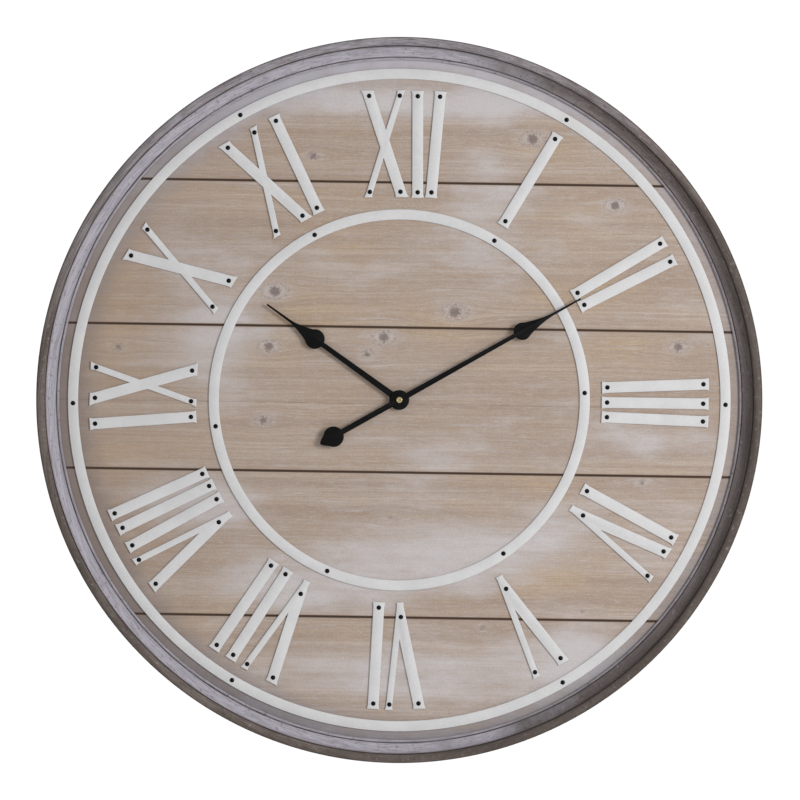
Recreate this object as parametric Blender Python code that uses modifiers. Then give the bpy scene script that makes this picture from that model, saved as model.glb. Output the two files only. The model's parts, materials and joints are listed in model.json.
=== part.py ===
"""Round plank wall clock: a turned wooden frame, five planks, nailed metal rings and Roman
numerals, spade hands and a battery movement behind the dial.

Every piece is modelled with the clock lying on its back: X runs to three o'clock, Y to twelve
and Z out of the dial. One empty, which holds them all, then stands the clock up, so that the
dial faces -Y and twelve is at +Z. The hands show ten past ten. Heights are along Z, with 0 in
the middle of the frame's depth. Units are metres.
"""

import math

import bmesh
import bpy

MM = 0.001

# Clearances
SEAT_GAP = 0.3 * MM  # between two pieces that rest on each other
FIT_GAP = 0.06 * MM  # radial, a piece pushed on its shaft
RUNNING_GAP = 0.08 * MM  # radial, a shaft that turns in its hole
END_PLAY = 0.3 * MM  # along a shaft that turns

# Frame, a turned wooden ring
FRAME_RADIUS = 400 * MM
FRAME_WIDTH = 25 * MM  # as seen from the front
FRAME_DEPTH = 50 * MM
WELL_DEPTH = 18 * MM  # from the frame's front to the dial's face
LIP_WIDTH = 9.5 * MM  # the rounded rim at the frame's outer edge
LIP_RISE = 3 * MM
LIP_STEP = 1 * MM  # the quirk between the rim and the cove
NOSE_WIDTH = 3.5 * MM  # the small step at the frame's inner edge
NOSE_HEIGHT = 3 * MM
REBATE = 6.5 * MM  # how far the dial runs in behind the nose
BACK_CHAMFER = 1.5 * MM
ROUND_STEPS = 96

# Dial planks and the battens that tie them
PLANK_COUNT = 5  # the outer two take what is left of the dial
PLANK_PITCH = 160 * MM
PLANK_THICKNESS = 10 * MM
GROOVE_CHAMFER = 0.8 * MM
DIAL_CLEARANCE = 0.5 * MM
BATTEN_WIDTH = 45 * MM
BATTEN_THICKNESS = 12 * MM
BATTEN_OFFSET = 150 * MM
BATTEN_END_GAP = 9 * MM  # from its outer corner to the frame, along its length
BATTEN_CHAMFER = 1.5 * MM

# Metal rings and numerals, cut from one sheet
SHEET = 1.5 * MM
RING_WIDTH = 11.3 * MM
RING_MARGIN = 9.35 * MM  # between the frame and the outer ring
NUMERAL_GAP = 13 * MM  # from a ring to a numeral's end
NUMERAL_LENGTH = 118 * MM
STROKE_WIDE = 12 * MM
STROKE_NARROW = 6.8 * MM
STROKE_FLARE = 1.1 * MM  # how far a stroke's end spreads each side
FLARE_LENGTH = 5 * MM
X_SPREAD = 18.8 * MM  # from an X's middle to the middle of a stroke's end
V_SPREAD = 17.1 * MM
V_TIP = 6 * MM

# Strokes of each numeral: its kind, and how far it stands to the right of the hour's radius at
# its head and at its foot, measured at the nails
NUMERALS = {
    1: (("I", 0, -0.6),),
    2: (("I", -10.4, -7.4), ("I", 12.4, 7.8)),
    3: (("I", -22.3, -17.2), ("I", -0.8, -0.6), ("I", 18.8, 15.6)),
    4: (("I", -23.6, -19.9), ("V", 10, 5.3)),
    5: (("V", -0.6, -1.2),),
    6: (("V", -10.1, -4.5), ("I", 23.7, 19.2)),
    7: (("V", -21.4, -15.5), ("I", 13.1, 9.2), ("I", 34.3, 27.8)),
    8: (("V", -30.2, -19.4), ("I", 3.4, 2.6), ("I", 25.5, 19.3), ("I", 43.7, 34.6)),
    9: (("I", -31.1, -22.1), ("X", 14.3, 12.1)),
    10: (("X", 2, -0.4),),
    11: (("X", -12.7, -11.1), ("I", 31.2, 23.9)),
    12: (("X", -21.3, -19), ("I", 15.5, 16.9), ("I", 40.1, 32.1)),
}
NAIL_INSET = 6 * MM  # from a stroke's end to its nail

# Hands
HOUR_SHOWN = 305  # degrees clockwise from twelve
MINUTE_SHOWN = 60
HAND_SHEET = 1 * MM
HOUR_LENGTH = 180 * MM
HOUR_HUB_RADIUS = 11 * MM
HOUR_BULB_PLACE = 114.8 * MM
HOUR_BULB_RADIUS = 10.9 * MM
HOUR_ARM = (3.5 * MM, 2.7 * MM)  # half widths at the hub and at the bulb
MINUTE_LENGTH = 229 * MM
MINUTE_HUB_RADIUS = 10.2 * MM
MINUTE_BULB_PLACE = 155.4 * MM
MINUTE_BULB_RADIUS = 9.7 * MM
MINUTE_ARM = (3.1 * MM, 2.2 * MM)
TAIL_PLACE = 83 * MM
TAIL_RADIUS = 11.4 * MM
TAIL_REACH = 17 * MM
TAIL_SHARPNESS = 0.7
BULB_REACH = 3.1  # how many radii past its middle a bulb runs out into the needle
BULB_SHARPNESS = 1.6
NEEDLE = (1.45 * MM, 0.95 * MM)  # half widths at the bulb and at the tip

# Movement: its case, and the stack of pieces that clamps it to the dial
CASE_HEAD = 28 * MM  # its height above the hands' axis
CASE_WALL = 1.6 * MM
GEAR_ROOM = 0.9 * MM  # between the largest arbor circle and the battery bay's divider
CASE_CORNER = 3 * MM
COVER_THICKNESS = 1.4 * MM
RUBBER_THICKNESS = 1 * MM
RUBBER_WIDTH = 5 * MM
BUSH_WALL = 1.47 * MM
BUSH_STAND_OUT = 4.4 * MM  # past the dial's face
BUSH_FLANGE = 2.5 * MM  # how far its flange runs out past it
BUSH_FLANGE_THICKNESS = 0.8 * MM
DIAL_HOLE_CLEARANCE = 0.5 * MM
NUT_THICKNESS = 2.2 * MM
NUT_WIDTH = 3.5 * MM  # at its corners
ARBOR_RADIUS = 1.5 * MM
HOUR_TUBE_WALL = 0.87 * MM
HAND_SPACING = 1.4 * MM
MINUTE_NUT_WALL = 1.74 * MM
MINUTE_NUT_THICKNESS = 2.2 * MM
SHAFT_STEPS = 24

# Battery and its bay
BATTERY_RADIUS = 7.1 * MM
BATTERY_LENGTH = 49.2 * MM
BATTERY_NUB_RADIUS = 2.75 * MM
BATTERY_NUB_LENGTH = 1.3 * MM
BAY_CLEARANCE = 0.9 * MM  # between the battery and each long wall
BATTERY_HEADROOM = 0.2 * MM  # between the battery and the plane of the cover's back
CONTACT_GAP = 0.45 * MM  # between the battery and each contact
BAY_DIVIDER = 1 * MM
CONTACT_SIZE = 10 * MM
CONTACT_THICKNESS = 0.4 * MM

# Gears. Every wheel of the train runs at the same distance from the hands' axis.
TRAIN_DISTANCE = 8.5 * MM
MOTION_DISTANCE = TRAIN_DISTANCE + 0.5 * MM
ROTOR_DISTANCE = 5.6 * MM
WHEEL_THICKNESS = 0.8 * MM
WHEEL_TOOTH = (0.34, 0.13)  # half widths at root and tip, in shares of the tooth pitch
PINION_TOOTH = (0.3, 0.13)
ADDENDUM = 0.75  # in modules
DEDENDUM = 1.1
TRAIN_PINION_TEETH = 6
CENTRE_TEETH = 45
THIRD_TEETH = 48
FOURTH_TEETH = 30
FIFTH_TEETH = 36
CANNON_TEETH = 10
MOTION_TEETH = 30
MOTION_PINION_TEETH = 8
HOUR_TEETH = 32
KNOB_TEETH = 10
THIRD_DIRECTION = 20  # degrees anticlockwise from three o'clock
FIFTH_DIRECTION = 190
ROTOR_DIRECTION = 160
MOTION_DIRECTION = 90
KNOB_DIRECTION = 40
PIVOT_RADIUS = 0.45 * MM
PIVOT_DEPTH = 0.8 * MM  # how far a pivot runs into a wall
PIVOT_STEPS = 12
ARBOR_STEPS = 16
COLLAR_THICKNESS = 0.3 * MM  # on the arbor's end, behind the centre wheel
COLLAR_RADIUS = 2.3 * MM
ARBOR_BORE = 2 * MM  # its bore, in which the fourth wheel's front pivot turns
# Depths behind the case's inner front face at which each wheel's front face lies
HOUR_LAYER = 1.5 * MM
MOTION_LAYER = 3.5 * MM
CENTRE_LAYER = 6.2 * MM
THIRD_LAYER = 8.6 * MM
FOURTH_LAYER = 10.6 * MM
PINION_OVERHANG = 0.7 * MM  # how far a pinion runs past the wheel it meshes with

# Motor and circuit
MAGNET_RADIUS = 3 * MM
MAGNET_THICKNESS = 2 * MM
MAGNET_LAYER = 2.3 * MM
STATOR_AIR_GAP = 0.5 * MM
STATOR_WEB = 1 * MM
STATOR_ARM = 3 * MM
COIL_RADIUS = 3.8 * MM
COIL_LENGTH = 15.6 * MM
COIL_CORE_RADIUS = 2.6 * MM
COIL_FLANGE = 1 * MM
BOARD_SIZE = (12 * MM, 13 * MM)
BOARD_THICKNESS = 0.8 * MM

# Setting knob, on the back
KNOB_SHAFT_RADIUS = 0.9 * MM
KNOB_RADIUS = 4 * MM
KNOB_THICKNESS = 2.4 * MM
KNOB_STEPS = 20

# Keyhole plate, let into the frame's back at the top
PLATE_SIZE = (46 * MM, 13 * MM)
PLATE_THICKNESS = 1.5 * MM
KEYHOLE_RADIUS = 3.8 * MM
KEYHOLE_SLOT = 2.1 * MM  # half its width
KEYHOLE_DROP = 5 * MM  # from the slot's end to the middle of the round entry
KEYHOLE_POCKET_DEPTH = 8 * MM

# Heights
FRONT = FRAME_DEPTH / 2
BACK = -FRAME_DEPTH / 2
DIAL_FACE = FRONT - WELL_DEPTH
DIAL_BACK = DIAL_FACE - PLANK_THICKNESS
CASE_FRONT = DIAL_BACK - RUBBER_THICKNESS - 2 * SEAT_GAP
CASE_INSIDE = CASE_FRONT - CASE_WALL
CASE_DEPTH = CASE_WALL + 2 * BATTERY_RADIUS + BATTERY_HEADROOM - COVER_THICKNESS
CASE_BACK = CASE_FRONT - CASE_DEPTH
COVER_INSIDE = CASE_BACK - SEAT_GAP
COVER_BACK = COVER_INSIDE - COVER_THICKNESS
BUSH_END = DIAL_FACE + BUSH_STAND_OUT
HOUR_HAND_BACK = BUSH_END + HAND_SPACING / 2
HOUR_TUBE_END = HOUR_HAND_BACK + HAND_SHEET + HAND_SPACING / 2
MINUTE_HAND_BACK = HOUR_TUBE_END + HAND_SPACING / 2
MINUTE_NUT_BACK = MINUTE_HAND_BACK + HAND_SHEET + SEAT_GAP
ARBOR_END = MINUTE_NUT_BACK + MINUTE_NUT_THICKNESS * 0.6
PIVOT_FRONT = CASE_INSIDE + PIVOT_DEPTH
PIVOT_BACK = COVER_INSIDE - PIVOT_DEPTH

# Radii
SIGHT_RADIUS = FRAME_RADIUS - FRAME_WIDTH
REBATE_RADIUS = SIGHT_RADIUS + REBATE
DIAL_RADIUS = REBATE_RADIUS - DIAL_CLEARANCE
FRAME_BACK_RADIUS = (REBATE_RADIUS + FRAME_RADIUS) / 2
OUTER_RING_RADIUS = SIGHT_RADIUS - RING_MARGIN - RING_WIDTH / 2
NUMERAL_OUTER = OUTER_RING_RADIUS - RING_WIDTH / 2 - NUMERAL_GAP
INNER_RING_RADIUS = NUMERAL_OUTER - NUMERAL_LENGTH - NUMERAL_GAP - RING_WIDTH / 2
HOUR_TUBE_RADIUS = ARBOR_RADIUS + RUNNING_GAP + HOUR_TUBE_WALL
BUSH_BORE = HOUR_TUBE_RADIUS + RUNNING_GAP
BUSH_RADIUS = BUSH_BORE + BUSH_WALL
CLAMP_HOLE = BUSH_RADIUS + RUNNING_GAP
PIVOT_HOLE = PIVOT_RADIUS + RUNNING_GAP


def clear_scene():
    for old in list(bpy.data.objects):
        bpy.data.objects.remove(old, do_unlink=True)


def new_collection(name):
    collection = bpy.data.collections.new(name)
    bpy.context.scene.collection.children.link(collection)
    return collection


clear_scene()
PARTS = new_collection("plank_wall_clock")
CUTTERS = new_collection("cutters")

STAND = bpy.data.objects.new("stand", None)
STAND.rotation_euler = (math.pi / 2, 0, 0)
PARTS.objects.link(STAND)


def finish(name, colour, roughness, metallic=0.0):
    material = bpy.data.materials.new(name)
    material.use_nodes = True
    shader = material.node_tree.nodes["Principled BSDF"]
    shader.inputs["Base Color"].default_value = (*colour, 1)
    shader.inputs["Roughness"].default_value = roughness
    shader.inputs["Metallic"].default_value = metallic
    material.diffuse_color = (*colour, 1)
    return material


PLANK_WOOD = finish("limed_plank", (0.42, 0.34, 0.27), 0.8)
FRAME_WOOD = finish("grey_frame_wood", (0.24, 0.22, 0.21), 0.75)
BATTEN_WOOD = finish("raw_batten_wood", (0.5, 0.36, 0.22), 0.85)
WHITE_METAL = finish("white_enamel", (0.72, 0.71, 0.71), 0.35)
BLACK_METAL = finish("black_enamel", (0.01, 0.01, 0.01), 0.35)
BRASS = finish("brass", (0.72, 0.55, 0.28), 0.3, 1)
STEEL = finish("steel", (0.55, 0.56, 0.58), 0.35, 1)
BLACK_PLASTIC = finish("black_plastic", (0.02, 0.02, 0.02), 0.5)
WHITE_PLASTIC = finish("white_plastic", (0.75, 0.75, 0.72), 0.45)
COPPER = finish("copper_winding", (0.6, 0.25, 0.12), 0.4, 1)
CIRCUIT = finish("circuit_laminate", (0.03, 0.16, 0.07), 0.5)
RUBBER = finish("black_rubber", (0.015, 0.015, 0.015), 0.85)
CELL_WRAP = finish("battery_wrap", (0.05, 0.12, 0.3), 0.35)
MAGNET = finish("rotor_magnet", (0.16, 0.16, 0.17), 0.5, 0.6)


def place(name, mesh, material=None, location=(0, 0, 0), turn=0.0):
    """Hangs a mesh on the stand as a part, or as a cutter if it has no material."""
    piece = bpy.data.objects.new(name, mesh)
    piece.parent = STAND
    piece.location = location
    piece.rotation_euler = (0, 0, turn)
    if material:
        PARTS.objects.link(piece)
        if not mesh.materials:
            mesh.materials.append(material)
    else:
        CUTTERS.objects.link(piece)
        piece.hide_render = True
        piece.display_type = "WIRE"
    return piece


def boolean(piece, other, operation):
    modifier = piece.modifiers.new(f"{operation.lower()}_{other.name}", "BOOLEAN")
    modifier.operation = operation
    modifier.object = other


def box_mesh(name, low, high):
    """A box between two corners."""
    mesh = bpy.data.meshes.new(name)
    bm = bmesh.new()
    bmesh.ops.create_cube(bm, size=1)
    for vert in bm.verts:
        vert.co = [a if side < 0 else b for side, a, b in zip(vert.co, low, high)]
    bm.to_mesh(mesh)
    bm.free()
    return mesh


def rod_mesh(name, radius, low, high, steps=SHAFT_STEPS):
    """A solid cylinder along Z."""
    mesh = bpy.data.meshes.new(name)
    bm = bmesh.new()
    bmesh.ops.create_cone(
        bm, cap_ends=True, segments=steps, radius1=radius, radius2=radius, depth=high - low
    )
    bmesh.ops.translate(bm, verts=bm.verts, vec=(0, 0, (low + high) / 2))
    bm.to_mesh(mesh)
    bm.free()
    return mesh


def flat_mesh(name, outlines, low, high):
    """A sheet cut to flat outlines, of which the inner ones are holes, between two heights.

    A curve's fill joins points nearer than 0.03 units, so it is drawn in millimetres.
    """
    curve = bpy.data.curves.new(name, "CURVE")
    curve.dimensions = "2D"
    curve.fill_mode = "BOTH"
    curve.extrude = (high - low) / 2 / MM
    for outline in outlines:
        spline = curve.splines.new("POLY")
        spline.points.add(len(outline) - 1)
        for point, (x, y) in zip(spline.points, outline):
            point.co = (x / MM, y / MM, 0, 1)
        spline.use_cyclic_u = True
    drawing = bpy.data.objects.new(name, curve)
    CUTTERS.objects.link(drawing)
    graph = bpy.context.evaluated_depsgraph_get()
    mesh = bpy.data.meshes.new_from_object(drawing.evaluated_get(graph))
    bpy.data.objects.remove(drawing)
    bpy.data.curves.remove(curve)
    mesh.name = name
    bm = bmesh.new()
    bm.from_mesh(mesh)
    bmesh.ops.remove_doubles(bm, verts=bm.verts, dist=0.001)
    bmesh.ops.scale(bm, verts=bm.verts, vec=(MM, MM, MM))
    bmesh.ops.translate(bm, verts=bm.verts, vec=(0, 0, (low + high) / 2))
    bmesh.ops.recalc_face_normals(bm, faces=bm.faces)
    bm.to_mesh(mesh)
    bm.free()
    return mesh


def turned_mesh(name, profile):
    """A profile of (radius, height) points. It runs down its outer side, and is a closed loop
    unless it starts and ends on the axis."""
    mesh = bpy.data.meshes.new(name)
    bm = bmesh.new()
    points = [bm.verts.new((radius, 0, height)) for radius, height in profile]
    for a, b in zip(points, points[1:]):
        bm.edges.new((a, b))
    if profile[0][0] > 0:
        bm.edges.new((points[-1], points[0]))
    bm.to_mesh(mesh)
    bm.free()
    return mesh


def turn(piece, steps):
    """Turns a piece's profile about its own Z axis."""
    screw = piece.modifiers.new("turn", "SCREW")
    screw.steps = steps
    screw.render_steps = steps
    screw.use_merge_vertices = True
    screw.merge_threshold = 0.00001
    return piece


def band(inner, outer, low, high):
    """The profile of a flat ring or a tube."""
    return [(inner, high), (outer, high), (outer, low), (inner, low)]


def pin(radius, low, high):
    """The profile of a solid pin."""
    return [(0, high), (radius, high), (radius, low), (0, low)]


def circle(radius, steps, centre=(0, 0)):
    angles = [2 * math.pi * i / steps for i in range(steps)]
    return [(centre[0] + radius * math.cos(a), centre[1] + radius * math.sin(a)) for a in angles]


def polar(distance, degrees, start=(0, 0)):
    angle = math.radians(degrees)
    return (start[0] + distance * math.cos(angle), start[1] + distance * math.sin(angle))


# The frame ------------------------------------------------------------------------------


def frame_profile():
    """Round lip, quirk, cove and nose, then the rebate for the dial and the plain back."""
    lip_middle = FRAME_RADIUS - LIP_WIDTH / 2
    lip_foot = FRONT - LIP_RISE
    lip_steps = 4
    lip = []
    for i in range(lip_steps + 1):
        angle = math.pi * (1 - i / lip_steps)
        lip.append((
            lip_middle + LIP_WIDTH / 2 * math.cos(angle),
            lip_foot + LIP_RISE * math.sin(angle),
        ))
    outside = [
        (FRAME_RADIUS, BACK + BACK_CHAMFER),
        (FRAME_RADIUS - BACK_CHAMFER, BACK),
        (REBATE_RADIUS, BACK),
        (REBATE_RADIUS, DIAL_FACE + SEAT_GAP),
        (SIGHT_RADIUS, DIAL_FACE + SEAT_GAP),
    ]
    cove_foot = SIGHT_RADIUS + NOSE_WIDTH
    cove_width = FRAME_RADIUS - LIP_WIDTH - cove_foot
    cove_low = DIAL_FACE + NOSE_HEIGHT + LIP_STEP
    cove_top = lip_foot - LIP_STEP
    nose = [
        (SIGHT_RADIUS, DIAL_FACE + NOSE_HEIGHT),
        (cove_foot, DIAL_FACE + NOSE_HEIGHT),
    ]
    cove_steps = 3
    cove = []
    for i in range(cove_steps + 1):
        angle = math.pi / 2 * (1 - i / cove_steps)
        cove.append((
            cove_foot + cove_width * math.cos(angle),
            cove_top - (cove_top - cove_low) * math.sin(angle),
        ))
    return lip + outside + nose + cove


def keyhole_outline():
    """A round entry for the nail's head with a narrow slot above it, about the slot's end."""
    entry = -KEYHOLE_DROP
    shoulder = math.degrees(math.acos(KEYHOLE_SLOT / KEYHOLE_RADIUS))
    points = [polar(KEYHOLE_SLOT, a) for a in range(0, 181, 45)]
    sweep = 180 + 2 * shoulder
    steps = 12
    for i in range(steps + 1):
        points.append(polar(KEYHOLE_RADIUS, 180 - shoulder + sweep * i / steps, (0, entry)))
    return points


def build_frame():
    frame = turn(place("frame_ring", turned_mesh("frame_ring", frame_profile()), FRAME_WOOD), ROUND_STEPS)
    half_width = PLATE_SIZE[0] / 2
    half_height = PLATE_SIZE[1] / 2
    middle = FRAME_BACK_RADIUS
    below = BACK - PLATE_THICKNESS
    recess = box_mesh(
        "plate_recess",
        (-half_width - SEAT_GAP, middle - half_height - SEAT_GAP, below),
        (half_width + SEAT_GAP, middle + half_height + SEAT_GAP, BACK + PLATE_THICKNESS + SEAT_GAP),
    )
    boolean(frame, place("plate_recess", recess), "DIFFERENCE")
    pocket_half = KEYHOLE_RADIUS + 2 * KEYHOLE_SLOT
    pocket = box_mesh(
        "nail_pocket",
        (-pocket_half, middle - half_height + KEYHOLE_SLOT / 2, below),
        (pocket_half, middle + half_height - KEYHOLE_SLOT / 2, BACK + KEYHOLE_POCKET_DEPTH),
    )
    boolean(frame, place("nail_pocket", pocket), "DIFFERENCE")

    corners = [(-1, -1), (1, -1), (1, 1), (-1, 1)]
    outline = [(x * half_width, y * half_height) for x, y in corners]
    slot_end = KEYHOLE_DROP * 0.6
    hole = [(x, y + slot_end) for x, y in keyhole_outline()]
    mesh = flat_mesh("hanger_plate", [outline, hole], BACK, BACK + PLATE_THICKNESS)
    place("hanger_plate", mesh, STEEL, (0, middle, 0))


# The dial -------------------------------------------------------------------------------


def plank_mesh(name, low, high):
    """A board across the dial, with its two long front edges chamfered."""
    mesh = box_mesh(
        name,
        (-FRAME_RADIUS, low + SEAT_GAP / 2, DIAL_BACK),
        (FRAME_RADIUS, high - SEAT_GAP / 2, DIAL_FACE),
    )
    bm = bmesh.new()
    bm.from_mesh(mesh)
    long_front = [
        edge for edge in bm.edges
        if abs(edge.verts[0].co.x - edge.verts[1].co.x) > FRAME_RADIUS
        and edge.verts[0].co.z > (DIAL_BACK + DIAL_FACE) / 2
    ]
    bmesh.ops.bevel(
        bm, geom=long_front, offset=GROOVE_CHAMFER, offset_type="OFFSET", segments=1,
        profile=0.5, affect="EDGES",
    )
    bm.to_mesh(mesh)
    bm.free()
    return mesh


def build_dial():
    over = PLANK_THICKNESS
    disc_mesh = rod_mesh("dial_disc", DIAL_RADIUS, DIAL_BACK - over, DIAL_FACE + over, ROUND_STEPS)
    disc = place("dial_disc", disc_mesh)
    hole_radius = BUSH_RADIUS + DIAL_HOLE_CLEARANCE
    hole = place("bush_hole", rod_mesh("bush_hole", hole_radius, DIAL_BACK - over, DIAL_FACE + over))
    top = PLANK_COUNT * PLANK_PITCH / 2
    for number in range(1, PLANK_COUNT + 1):
        name = f"plank_{number}"
        low = top - number * PLANK_PITCH
        high = low + PLANK_PITCH
        if number == 1:
            high = max(high, FRAME_RADIUS)
        if number == PLANK_COUNT:
            low = min(low, -FRAME_RADIUS)
        plank = place(name, plank_mesh(name, low, high), PLANK_WOOD)
        boolean(plank, disc, "INTERSECT")
        if low < 0 < high:
            boolean(plank, hole, "DIFFERENCE")

    half_length = math.sqrt(DIAL_RADIUS**2 - (BATTEN_OFFSET + BATTEN_WIDTH / 2) ** 2) - BATTEN_END_GAP
    mesh = box_mesh(
        "batten",
        (-BATTEN_WIDTH / 2, -half_length, DIAL_BACK - SEAT_GAP - BATTEN_THICKNESS),
        (BATTEN_WIDTH / 2, half_length, DIAL_BACK - SEAT_GAP),
    )
    for side, name in ((1, "batten_right"), (-1, "batten_left")):
        batten = place(name, mesh, BATTEN_WOOD, (side * BATTEN_OFFSET, 0, 0))
        bevel = batten.modifiers.new("chamfer", "BEVEL")
        bevel.width = BATTEN_CHAMFER
        bevel.segments = 1


# Metal rings and numerals ---------------------------------------------------------------


def build_rings():
    low = DIAL_FACE + SEAT_GAP
    for name, radius in (("outer_metal_ring", OUTER_RING_RADIUS), ("inner_metal_ring", INNER_RING_RADIUS)):
        profile = band(radius - RING_WIDTH / 2, radius + RING_WIDTH / 2, low, low + SHEET)
        turn(place(name, turned_mesh(name, profile), WHITE_METAL), ROUND_STEPS)


def stroke_end(left, right, end, lean_left, lean_right):
    """The flared end of a stroke, from its left side to its right as seen from outside.

    left and right are where its sides meet the end's height, and the leans say how far each
    side moves in X for each unit that it runs back from the end.
    """
    inward = -1 if end > 0 else 1
    points = []
    for share in (0, 0.55, 1):
        back = FLARE_LENGTH * (1 - share)
        spread = STROKE_FLARE * share**2
        points.append((left + lean_left * back - spread, end + inward * back))
    for share in (1, 0.55, 0):
        back = FLARE_LENGTH * (1 - share)
        spread = STROKE_FLARE * share**2
        points.append((right + lean_right * back + spread, end + inward * back))
    return points


def mirrored_end(points):
    """The same end at a stroke's foot, run the other way round."""
    return list(reversed(points))


def stroke_i():
    half = NUMERAL_LENGTH / 2
    wide = STROKE_WIDE / 2
    head = stroke_end(-wide, wide, half, 0, 0)
    foot = stroke_end(-wide, wide, -half, 0, 0)
    return head + mirrored_end(foot)


def stroke_x():
    """A wide stroke from head left to foot right, crossed by a narrow one."""
    half = NUMERAL_LENGTH / 2
    slant = math.hypot(half, X_SPREAD) / half
    wide = STROKE_WIDE * slant / 2
    narrow = STROKE_NARROW * slant / 2
    lean = X_SPREAD / half
    head_wide = stroke_end(-X_SPREAD - wide, -X_SPREAD + wide, half, lean, lean)
    head_narrow = stroke_end(X_SPREAD - narrow, X_SPREAD + narrow, half, -lean, -lean)
    foot_wide = stroke_end(X_SPREAD - wide, X_SPREAD + wide, -half, -lean, -lean)
    foot_narrow = stroke_end(-X_SPREAD - narrow, -X_SPREAD + narrow, -half, lean, lean)
    crotch = (wide + narrow) / (2 * lean)
    side = (wide - narrow) / (2 * lean)
    crotch_x = (narrow - wide) / 2
    flank_x = (wide + narrow) / 2
    return (
        head_wide
        + [(-crotch_x, crotch)]
        + head_narrow
        + [(flank_x, side)]
        + mirrored_end(foot_wide)
        + [(crotch_x, -crotch)]
        + mirrored_end(foot_narrow)
        + [(-flank_x, -side)]
    )


def stroke_v():
    """A wide left leg and a narrow right one that meet at a blunt foot."""
    half = NUMERAL_LENGTH / 2
    slant = math.hypot(NUMERAL_LENGTH, V_SPREAD) / NUMERAL_LENGTH
    wide = STROKE_WIDE * slant / 2
    narrow = STROKE_NARROW * slant / 2
    tip = V_TIP / 2
    lean_left = (V_SPREAD + wide - tip) / NUMERAL_LENGTH
    lean_right = (V_SPREAD + narrow - tip) / NUMERAL_LENGTH
    head_wide = stroke_end(-V_SPREAD - wide, -V_SPREAD + wide, half, lean_left, lean_left)
    head_narrow = stroke_end(V_SPREAD - narrow, V_SPREAD + narrow, half, -lean_right, -lean_right)
    foot = stroke_end(-tip, tip, -half, -lean_left, lean_right)
    rise = (2 * wide + 2 * narrow - V_TIP) / (lean_left + lean_right)
    crotch = (-tip + 2 * wide - lean_left * rise, rise - half)
    return head_wide + [crotch] + head_narrow + mirrored_end(foot)


def build_numerals():
    low = DIAL_FACE + SEAT_GAP
    outlines = {"I": stroke_i(), "V": stroke_v(), "X": stroke_x()}
    meshes = {}
    for kind, points in outlines.items():
        meshes[kind] = flat_mesh(f"stroke_{kind}", [points], low, low + SHEET)
    along = NUMERAL_OUTER - NUMERAL_LENGTH / 2
    nails_apart = NUMERAL_LENGTH - 2 * NAIL_INSET
    for hour, strokes in NUMERALS.items():
        turn_clockwise = math.radians(30 * hour)
        kinds = [kind for kind, _, _ in strokes]
        for number, (kind, head, foot) in enumerate(strokes, 1):
            lean = math.atan2((head - foot) * MM, nails_apart)
            across = (head + foot) / 2 * MM
            x = across * math.cos(turn_clockwise) + along * math.sin(turn_clockwise)
            y = along * math.cos(turn_clockwise) - across * math.sin(turn_clockwise)
            name = f"numeral_{hour}_{kind.lower()}"
            if kinds.count(kind) > 1:
                name += str(kinds[:number].count(kind))
            place(name, meshes[kind], WHITE_METAL, (x, y, 0), -turn_clockwise - lean)


# Hands ----------------------------------------------------------------------------------


def round_half_width(y, centre, radius):
    return math.sqrt(max(radius**2 - (y - centre) ** 2, 0))


def drop_half_width(y, centre, radius, reach, sharpness, end):
    """A round bulb that runs out on one side, over the reach, to half its end width."""
    share = (y - centre) / reach
    run_out = end + (radius - end) * (1 - share) ** sharpness if 0 <= share < 1 else 0
    return max(round_half_width(y, centre, radius), run_out)


def round_stations(centre, radius, neck, steps):
    """Heights at which to measure a round shape, with those where arms of half width neck join."""
    join = math.sqrt(radius**2 - neck**2)
    turns = [centre - radius * math.cos(math.pi * i / steps) for i in range(steps + 1)]
    return [y for y in turns if abs(y - centre) < join] + [centre - join, centre + join]


def hand_outline(half_width, stations):
    """A symmetric outline from its half widths, from the lowest station to the highest."""
    heights = []
    for y in sorted(stations):
        if not heights or y - heights[-1] > 0.2 * MM:
            heights.append(y)
    right = [(half_width(y), y) for y in heights]
    right = [(max(x, 0.05 * MM), y) for x, y in right]
    return right + [(-x, y) for x, y in reversed(right)]


def hour_hand_outline():
    reach = BULB_REACH * HOUR_BULB_RADIUS
    needle_start = HOUR_BULB_PLACE + reach

    def half_width(y):
        if y >= needle_start:
            share = (y - needle_start) / (HOUR_LENGTH - needle_start)
            return NEEDLE[0] + (NEEDLE[1] - NEEDLE[0]) * share
        bulb = drop_half_width(y, HOUR_BULB_PLACE, HOUR_BULB_RADIUS, reach, BULB_SHARPNESS, NEEDLE[0])
        if y < 0 or y > HOUR_BULB_PLACE:
            arm = 0
        else:
            arm = HOUR_ARM[0] + (HOUR_ARM[1] - HOUR_ARM[0]) * y / HOUR_BULB_PLACE
        return max(round_half_width(y, 0, HOUR_HUB_RADIUS), arm, bulb)

    hub = [y for y in round_stations(0, HOUR_HUB_RADIUS, HOUR_ARM[0], 16)]
    bulb = [y for y in round_stations(HOUR_BULB_PLACE, HOUR_BULB_RADIUS, HOUR_ARM[1], 16)]
    run_out = [HOUR_BULB_PLACE + reach * share for share in (0.3, 0.45, 0.6, 0.75, 0.9, 1)]
    stations = [-HOUR_HUB_RADIUS] + hub + [y for y in bulb if y < run_out[0]] + run_out + [HOUR_LENGTH]
    return hand_outline(half_width, stations)


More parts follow.
